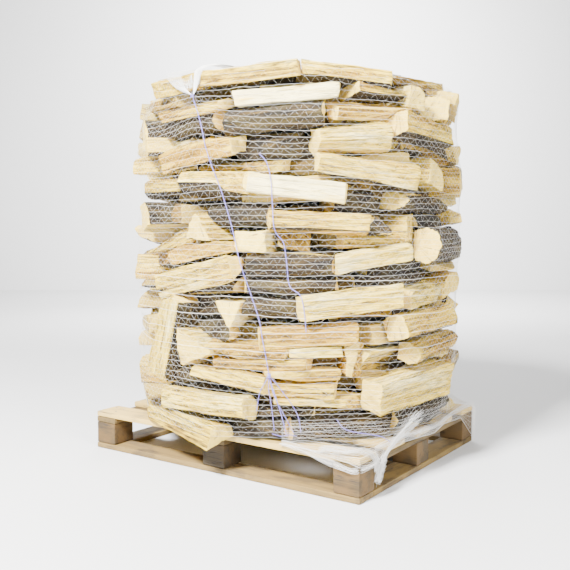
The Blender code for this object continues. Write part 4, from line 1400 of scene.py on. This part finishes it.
@dataclass
class KnittedNet:
    """The fine net: threads that run round the stack, with slanting threads between them."""

    cells: int = 112
    row_step: float = 1.35
    thread: float = 0.00035
    slant: float = 0.00023
    stout: float = 0.0008
    top_rows: int = 28

    def build(self, skin: NetSurface) -> None:
        """Make the net's pieces.

        Args:
            skin: The surface that it lies on.
        """
        self.skin = skin
        self.material = Yarn("net_thread", (0.93, 0.92, 0.89), (0.84, 0.83, 0.80), 0.5).build()
        section = triangle_profile()
        rows = np.arange(0.3, skin.row_of(skin.shoulder) + 5.5, self.row_step)
        bands = [Threads("net_low"), Threads("net_middle"), Threads("net_high")]
        lines = [self.side_line(row) for row in rows]
        for index, (row, line) in enumerate(zip(rows, lines)):
            band = bands[min(index * 3 // len(rows), 2)]
            height = skin.foot + row * skin.step
            stout = 0.42 < height < 0.72 and index % 3 == 0
            thick = 1.0 + 0.55 * ripple(np.arange(len(line)) * 0.09, index * 2.7)
            band.add(line, (self.stout if stout else self.thread) * thick, True)
            if index:
                band.add(self.zigzag(lines[index - 1], line), self.slant * thick, True)
        top = Threads("net_top")
        line = lines[-1]
        for index in range(1, self.top_rows):
            following = self.top_line(index / self.top_rows, line)
            top.add(following, self.slant, True)
            top.add(self.zigzag(line, following), self.slant, True)
            line = following
        self.pleats(top)
        skirt = Threads("net_skirt")
        self.skirt(skirt)
        for index, threads in enumerate((*bands, top, skirt)):
            item = threads.build(self.material, section)
            register(item, "net_yarn", *(["net"] if index == 1 else []))
        bpy.data.objects.remove(section)

    def warped(self, bearing: np.ndarray, row: np.ndarray) -> tuple[np.ndarray, np.ndarray]:
        """Draw places towards the point where the net is gathered.

        Args:
            bearing: Their bearings.
            row: Their rows.

        Returns:
            The bearings and rows that they move to.
        """
        gather_row = self.skin.row_of(GATHER[1])
        aside = (bearing - GATHER[0] + 180) % 360 - 180
        above = row - gather_row
        pull = np.exp(-(aside / 16.0) ** 2 - (above / 11.0) ** 2)
        return bearing - aside * pull * 0.35, row - above * pull * 0.55

    def side_line(self, row: float) -> np.ndarray:
        """Return a thread round the stack at about this row."""
        turn = np.arange(2 * self.cells) * 180.0 / self.cells
        wander = 0.85 * ripple(np.cos(np.radians(turn)) * 2.2, np.sin(np.radians(turn)) * 2.2, row * 0.11)
        wander += 0.26 * ripple(np.cos(np.radians(turn)) * 8, np.sin(np.radians(turn)) * 8, row * 0.9)
        wander += 0.07 * ripple(np.cos(np.radians(turn)) * 30, np.sin(np.radians(turn)) * 30, row * 2.1)
        bearing = turn + 0.6 * ripple(turn * 0.2, row * 0.4)
        sag = np.where(np.arange(2 * self.cells) % 2, -0.012, 0.012)
        bearing, rows = self.warped(bearing, row + wander + sag)
        return self.skin.at(bearing, rows, self.thread)

    def top_line(self, share: float, line: np.ndarray) -> np.ndarray:
        """Return a thread of the net's top, drawn in towards the gather.

        Args:
            share: How far it is drawn in, from 0 at the rim to 1 at the gather.
            line: The thread before it.

        Returns:
            The thread.
        """
        turn = np.arange(2 * self.cells) * 180.0 / self.cells
        bearing, rows = self.warped(turn, np.full(turn.shape, self.skin.row_of(self.skin.shoulder) + 5.0))
        rim = self.skin.at(bearing, rows)
        gather = self.gather_point()
        wander = 0.012 * ripple(np.cos(np.radians(turn)) * 2, np.sin(np.radians(turn)) * 2, share * 9)
        goal = rim + (gather - rim) * (share + wander)[:, None]
        centre = np.array(STACK_CENTRE)
        angles = np.degrees(np.arctan2(goal[:, 1] - centre[1], goal[:, 0] - centre[0])) - FRONT_ANGLE
        radii = np.hypot(goal[:, 0] - centre[0], goal[:, 1] - centre[1])
        found = [self.skin.row_at_radius(angle, radius) for angle, radius in zip(angles, radii)]
        found = np.maximum(found, self.skin.row_of(GATHER[1]) + 1.5)
        return self.skin.at(angles, found, self.thread)

    def gather_point(self) -> np.ndarray:
        """Return where the tie string gathers the net."""
        return self.skin.at([GATHER[0]], [self.skin.row_of(GATHER[1])], 0.006)[0]

    @staticmethod
    def zigzag(lower: np.ndarray, upper: np.ndarray) -> np.ndarray:
        """Return a thread that goes to and fro between two others."""
        even = (np.arange(len(lower)) % 2 == 0)[:, None]
        aside = 0.85 * ripple(np.arange(len(lower)) * 0.71, float(lower[0, 2]) * 90)[:, None]
        return np.where(even, lower + np.gradient(lower, axis=0) * aside, upper + np.gradient(upper, axis=0) * aside)

    def pleats(self, threads: Threads) -> None:
        """Add the two fans of threads that run up from the gather and over the rim.

        Args:
            threads: The piece that takes them.
        """
        start = self.gather_point()
        base = self.skin.row_of(self.skin.shoulder)
        for lean, width, end_row in ((-16.0, 12.0, 13.0), (5.5, 6.5, 12.0)):
            for index in range(30):
                aside = index / 29 - 0.5
                rise = np.linspace(0.0, 1.0, 12)
                bearing = GATHER[0] + (lean + width * aside) * np.minimum(rise * 2.2, 1.0) ** 0.8
                rows = self.skin.row_of(GATHER[1]) + (base + end_row - self.skin.row_of(GATHER[1])) * rise
                lift = 0.005 + 0.004 * math.cos(aside * 3) + 0.010 * np.minimum(rise * 2.2, 1.0)[:, None]
                run = self.skin.at(bearing, rows, lift)
                run[0] = start
                threads.add(spread(run, 16), self.thread * (1.5 - rise[-1] * 0.3))

    def hem_points(self) -> list[tuple[float, Vector, float]]:
        """Return the lower edge: bearing, the place on the deck's edge, and how far it hangs below."""
        return [
            (-6.0, Vector((0.300, -0.500, 0.154)), 0.0), (4.0, Vector((0.420, -0.503, 0.154)), 0.004),
            (10.0, Vector((0.530, -0.504, 0.154)), 0.016), (16.0, Vector((0.602, -0.503, 0.154)), 0.030),
            (22.0, Vector((0.604, -0.430, 0.154)), 0.045), (30.0, Vector((0.604, -0.320, 0.154)), 0.020),
            (42.0, Vector((0.605, -0.180, 0.154)), 0.014), (57.0, Vector((0.640, 0.010, 0.160)), 0.020),
            (70.0, Vector((0.606, 0.180, 0.154)), 0.018), (84.0, Vector((0.605, 0.360, 0.154)), 0.030),
            (93.0, Vector((0.605, 0.470, 0.154)), 0.115), (98.0, Vector((0.603, 0.503, 0.154)), 0.120),
            (104.0, Vector((0.520, 0.504, 0.154)), 0.060), (114.0, Vector((0.400, 0.504, 0.154)), 0.015),
        ]

    def skirt(self, threads: Threads) -> None:
        """Add the part of the net that is drawn out over the pallet's right corners.

        Args:
            threads: The piece that takes it.
        """
        marks = self.hem_points()
        bearings = np.array([mark[0] for mark in marks])
        edges = np.array([mark[1][:] for mark in marks])
        drops = np.array([mark[2] for mark in marks])
        count = 121
        bearing = np.linspace(bearings[0], bearings[-1], count)
        edge = np.column_stack([np.interp(bearing, bearings, edges[:, axis]) for axis in range(3)])
        drop = np.interp(bearing, bearings, drops)
        foot = self.skin.at(bearing, np.full(count, self.skin.row_of(0.225)), 0.001)
        lines = []
        for index in range(15):
            share = index / 9
            if share <= 1:
                line = foot + (edge - foot) * share
                line[:, 2] -= 0.012 * math.sin(share * math.pi)
            else:
                line = edge.copy()
                line[:, 2] -= drop * (share - 1) / (14 / 9 - 1)
            line[:, 2] += 0.0022 * ripple(bearing * 0.3, index * 0.9)
            line[:, 2] = np.maximum(line[:, 2], 0.012)
            over_deck = (np.abs(line[:, 0]) < 0.602) & (np.abs(line[:, 1]) < 0.502)
            line[:, 2] = np.where(over_deck, np.maximum(line[:, 2], 0.1525), line[:, 2])
            lines.append(line)
        for index, line in enumerate(lines):
            threads.add(line, self.stout if index in (9, 14) else self.thread)
            if index:
                threads.add(self.zigzag(lines[index - 1], line), self.slant)
        self.bunches(threads)

    def bunches(self, threads: Threads) -> None:
        """Add the gathered bunches of net at the pallet's front right corner.

        Args:
            threads: The piece that takes them.
        """
        routes = (
            (((0.634, -0.130, 0.232), (0.628, -0.180, 0.208), (0.618, -0.250, 0.178), (0.612, -0.320, 0.142),
              (0.611, -0.360, 0.110), (0.611, -0.382, 0.080), (0.611, -0.395, 0.052)), 40, 0.009, 0.008),
            (((0.613, -0.352, 0.128), (0.617, -0.368, 0.104), (0.617, -0.384, 0.078), (0.613, -0.394, 0.058)),
             34, 0.014, 0.022),
            (((0.455, -0.506, 0.158), (0.500, -0.507, 0.168), (0.560, -0.498, 0.170), (0.596, -0.462, 0.168),
              (0.612, -0.410, 0.140), (0.612, -0.395, 0.090)), 44, 0.013, 0.012),
            (((0.604, -0.400, 0.162), (0.606, -0.200, 0.160), (0.640, 0.010, 0.163), (0.607, 0.250, 0.160),
              (0.606, 0.480, 0.158), (0.608, 0.500, 0.080), (0.608, 0.490, 0.020)), 22, 0.010, 0.008),
            (((0.300, -0.504, 0.157), (0.400, -0.506, 0.148), (0.500, -0.508, 0.126), (0.575, -0.508, 0.112),
              (0.609, -0.470, 0.118), (0.612, -0.390, 0.120)), 22, 0.009, 0.010),
        )
        rng = random.Random(SEED + 2)
        for number, (route, count, wide, loose) in enumerate(routes):
            fan = (3.6, 0.9, 1.6) if number == 0 else (1.0, 1.0, 1.0)
            middle = spread(np.array(route), 26)
            for index in range(count):
                turn = rng.uniform(0, math.tau)
                reach = wide * math.sqrt(rng.random()) * np.interp(np.linspace(0, 1, 26), (0.0, 0.5, 1.0), fan)
                along = np.linspace(0, 1, 26)
                swing = turn + 2.5 * along
                run = middle.copy()
                run[:, 0] += reach * np.cos(swing) * 0.35 + loose * 0.3 * ripple(along * 6, index * 3.1)
                run[:, 1] += reach * np.cos(swing) + loose * ripple(along * 5, index * 1.7)
                run[:, 2] += reach * np.sin(swing) + loose * ripple(along * 5, index * 2.3 + 9)
                run[:, 2] = np.maximum(run[:, 2], 0.010)
                threads.add(run, self.thread)


class VioletStrings:
    """The tie string with its knot and loose ends, and the loose string beside it."""

    radius = 0.0015

    def build(self, skin: NetSurface) -> None:
        """Make the strings.

        Args:
            skin: The surface that they lie on.
        """
        material = Yarn("violet_twine", (0.11, 0.08, 0.52), (0.40, 0.36, 0.80), 0.5, 520.0).build()
        for name, route in (("tie_string", TIE_ROUTE), ("loose_string", LOOSE_ROUTE)):
            marks = np.array(route)
            places = spread(np.column_stack([marks, np.zeros(len(marks))]), 110)
            clearance = np.full(110, 0.0045)
            clearance[:4] = (-0.038, -0.026, -0.012, 0.000) if name == "loose_string" else 0.0045
            run = skin.at(places[:, 0], skin.row_of(places[:, 1]), clearance[:, None])
            threads = Threads(f"{name}_twine")
            threads.add(run, self.radius)
            item = threads.build(material)
            register(item, "violet_string", name)
        self.knots(skin, material)

    def knots(self, skin: NetSurface, material: bpy.types.Material) -> None:
        """Add the knots and the short ends that fan out below the lower one.

        Args:
            skin: The surface that they lie on.
            material: Their material.
        """
        threads = Threads("string_knots")
        for place in (KNOT, GATHER):
            centre = skin.at([place[0]], [skin.row_of(place[1])], 0.009)[0]
            angle = np.linspace(0, 3 * math.tau, 54)
            outward = np.array(direction(place[0]))
            side = np.cross(outward, (0, 0, 1))
            ring = np.outer(np.cos(angle) * 0.0062, side) + np.outer(np.sin(angle) * 0.0062, outward)
            ring[:, 2] += np.linspace(-0.006, 0.006, 54)
            threads.add(centre + ring, self.radius * 0.8)
        ends = (
            ((-9.5, 0.395), (-11.0, 0.365), (-12.5, 0.328), (-13.5, 0.270)),
            ((-9.5, 0.395), (-9.6, 0.350), (-8.8, 0.290), (-8.2, 0.200)),
            ((-9.5, 0.395), (-6.0, 0.350), (-2.0, 0.290), (0.0, 0.245), (0.8, 0.195)),
            ((-9.5, 0.395), (-8.0, 0.330), (-4.5, 0.250), (-1.6, 0.192)),
            ((-9.0, 0.186), (-6.0, 0.178), (-3.0, 0.184), (-0.7, 0.180)),
        )
        for route in ends:
            marks = np.array(route)
            places = spread(np.column_stack([marks, np.zeros(len(marks))]), 30)
            threads.add(skin.at(places[:, 0], skin.row_of(places[:, 1]), 0.0040), self.radius * 0.8)
        start = skin.at([13.0], [skin.row_of(0.238)], 0.004)[0]
        stray = np.array([start, (0.520, -0.440, 0.222), (0.602, -0.365, 0.199), (0.606, -0.289, 0.163)])
        threads.add(spread(stray, 24), self.radius * 0.8)
        register(threads.build(material), "violet_string")


def search_tree(items: Iterable[bpy.types.Object]) -> BVHTree:
    """Return a search tree of the faces of these pieces."""
    shape = bmesh.new()
    for item in items:
        shape.from_mesh(item.data)
    tree = BVHTree.FromBMesh(shape)
    shape.free()
    return tree


class Studio:
    """The pale floor, the soft light and the camera at the photograph's angle."""

    def camera(self) -> None:
        """Place the camera as it was fitted to the pallet in the photograph."""
        data = bpy.data.cameras.new("camera")
        data.sensor_width = 36.0
        data.lens = 826.206 / 570 * 36.0
        data.shift_x = 47.16 / 570
        data.shift_y = -14.9 / 570
        item = bpy.data.objects.new("camera", data)
        azimuth, elevation = math.radians(36.271), math.radians(3.063)
        back = Vector((math.sin(azimuth) * math.cos(elevation), -math.cos(azimuth) * math.cos(elevation),
                       math.sin(elevation)))
        item.location = (1.836, -2.849, 0.902)
        item.rotation_euler = back.to_track_quat("Z", "Y").to_euler()
        bpy.context.scene.collection.objects.link(item)
        bpy.context.scene.camera = item

    def floor(self) -> None:
        """Lay the floor."""
        graph = Graph("floor")
        tone = graph.noise(graph.object_space(), (0.7, 0.7, 0.7), 2.0)
        material = graph.finish(graph.mix(tone, (0.72, 0.72, 0.72), (0.76, 0.76, 0.76)), 0.9)
        shape = bmesh.new()
        bmesh.ops.create_grid(shape, x_segments=2, y_segments=2, size=12.0)
        item = place_in_scene("floor", shape, [material])
        item.location.z = -0.0005
        wall = bmesh.new()
        bmesh.ops.create_grid(wall, x_segments=2, y_segments=2, size=12.0)
        turn = Matrix.Rotation(math.radians(36.271), 4, "Z") @ Matrix.Translation((0, 8.2, 0))
        bmesh.ops.transform(wall, matrix=turn @ Matrix.Rotation(math.pi / 2, 4, "X"), verts=wall.verts)
        place_in_scene("backdrop", wall, [material])

    def light(self, name: str, place: tuple[float, float, float], power: float, size: float,
              target: Vector = Vector((0, 0, 0.75))) -> None:
        """Add a soft area light that faces the stack or another place."""
        data = bpy.data.lights.new(name, "AREA")
        data.energy = power
        data.size = size
        item = bpy.data.objects.new(name, data)
        item.location = place
        toward = Vector(place) - target
        item.rotation_euler = toward.to_track_quat("Z", "Y").to_euler()
        bpy.context.scene.collection.objects.link(item)

    def build(self) -> None:
        """Make the floor, the lights and the world."""
        self.floor()
        self.light("key", (0.1, -4.3, 4.4), 2200.0, 1.1)
        self.light("fill", (4.6, -2.1, 2.8), 440.0, 1.8)
        self.light("back", (-3.0, 3.6, 3.0), 260.0, 3.0)
        self.light("wall_light", (-2.2, 4.6, 3.6), 900.0, 3.0, Vector((-4.3, 6.9, 1.6)))
        world = bpy.data.worlds.new("world")
        world.use_nodes = True
        background = world.node_tree.nodes["Background"]
        background.inputs[0].default_value = (1.0, 1.0, 1.0, 1.0)
        background.inputs[1].default_value = 0.10
        bpy.context.scene.world = world


def main() -> None:
    """Build every piece of the scene."""
    logging.basicConfig(level=logging.INFO, format="%(message)s")
    studio = Studio()
    studio.camera()
    Pallet().build()
    logs = FirewoodStack().build()
    skin = NetSurface(search_tree(logs))
    KnittedNet().build(skin)
    VioletStrings().build(skin)
    studio.build()


if __name__ == "__main__":
    main()
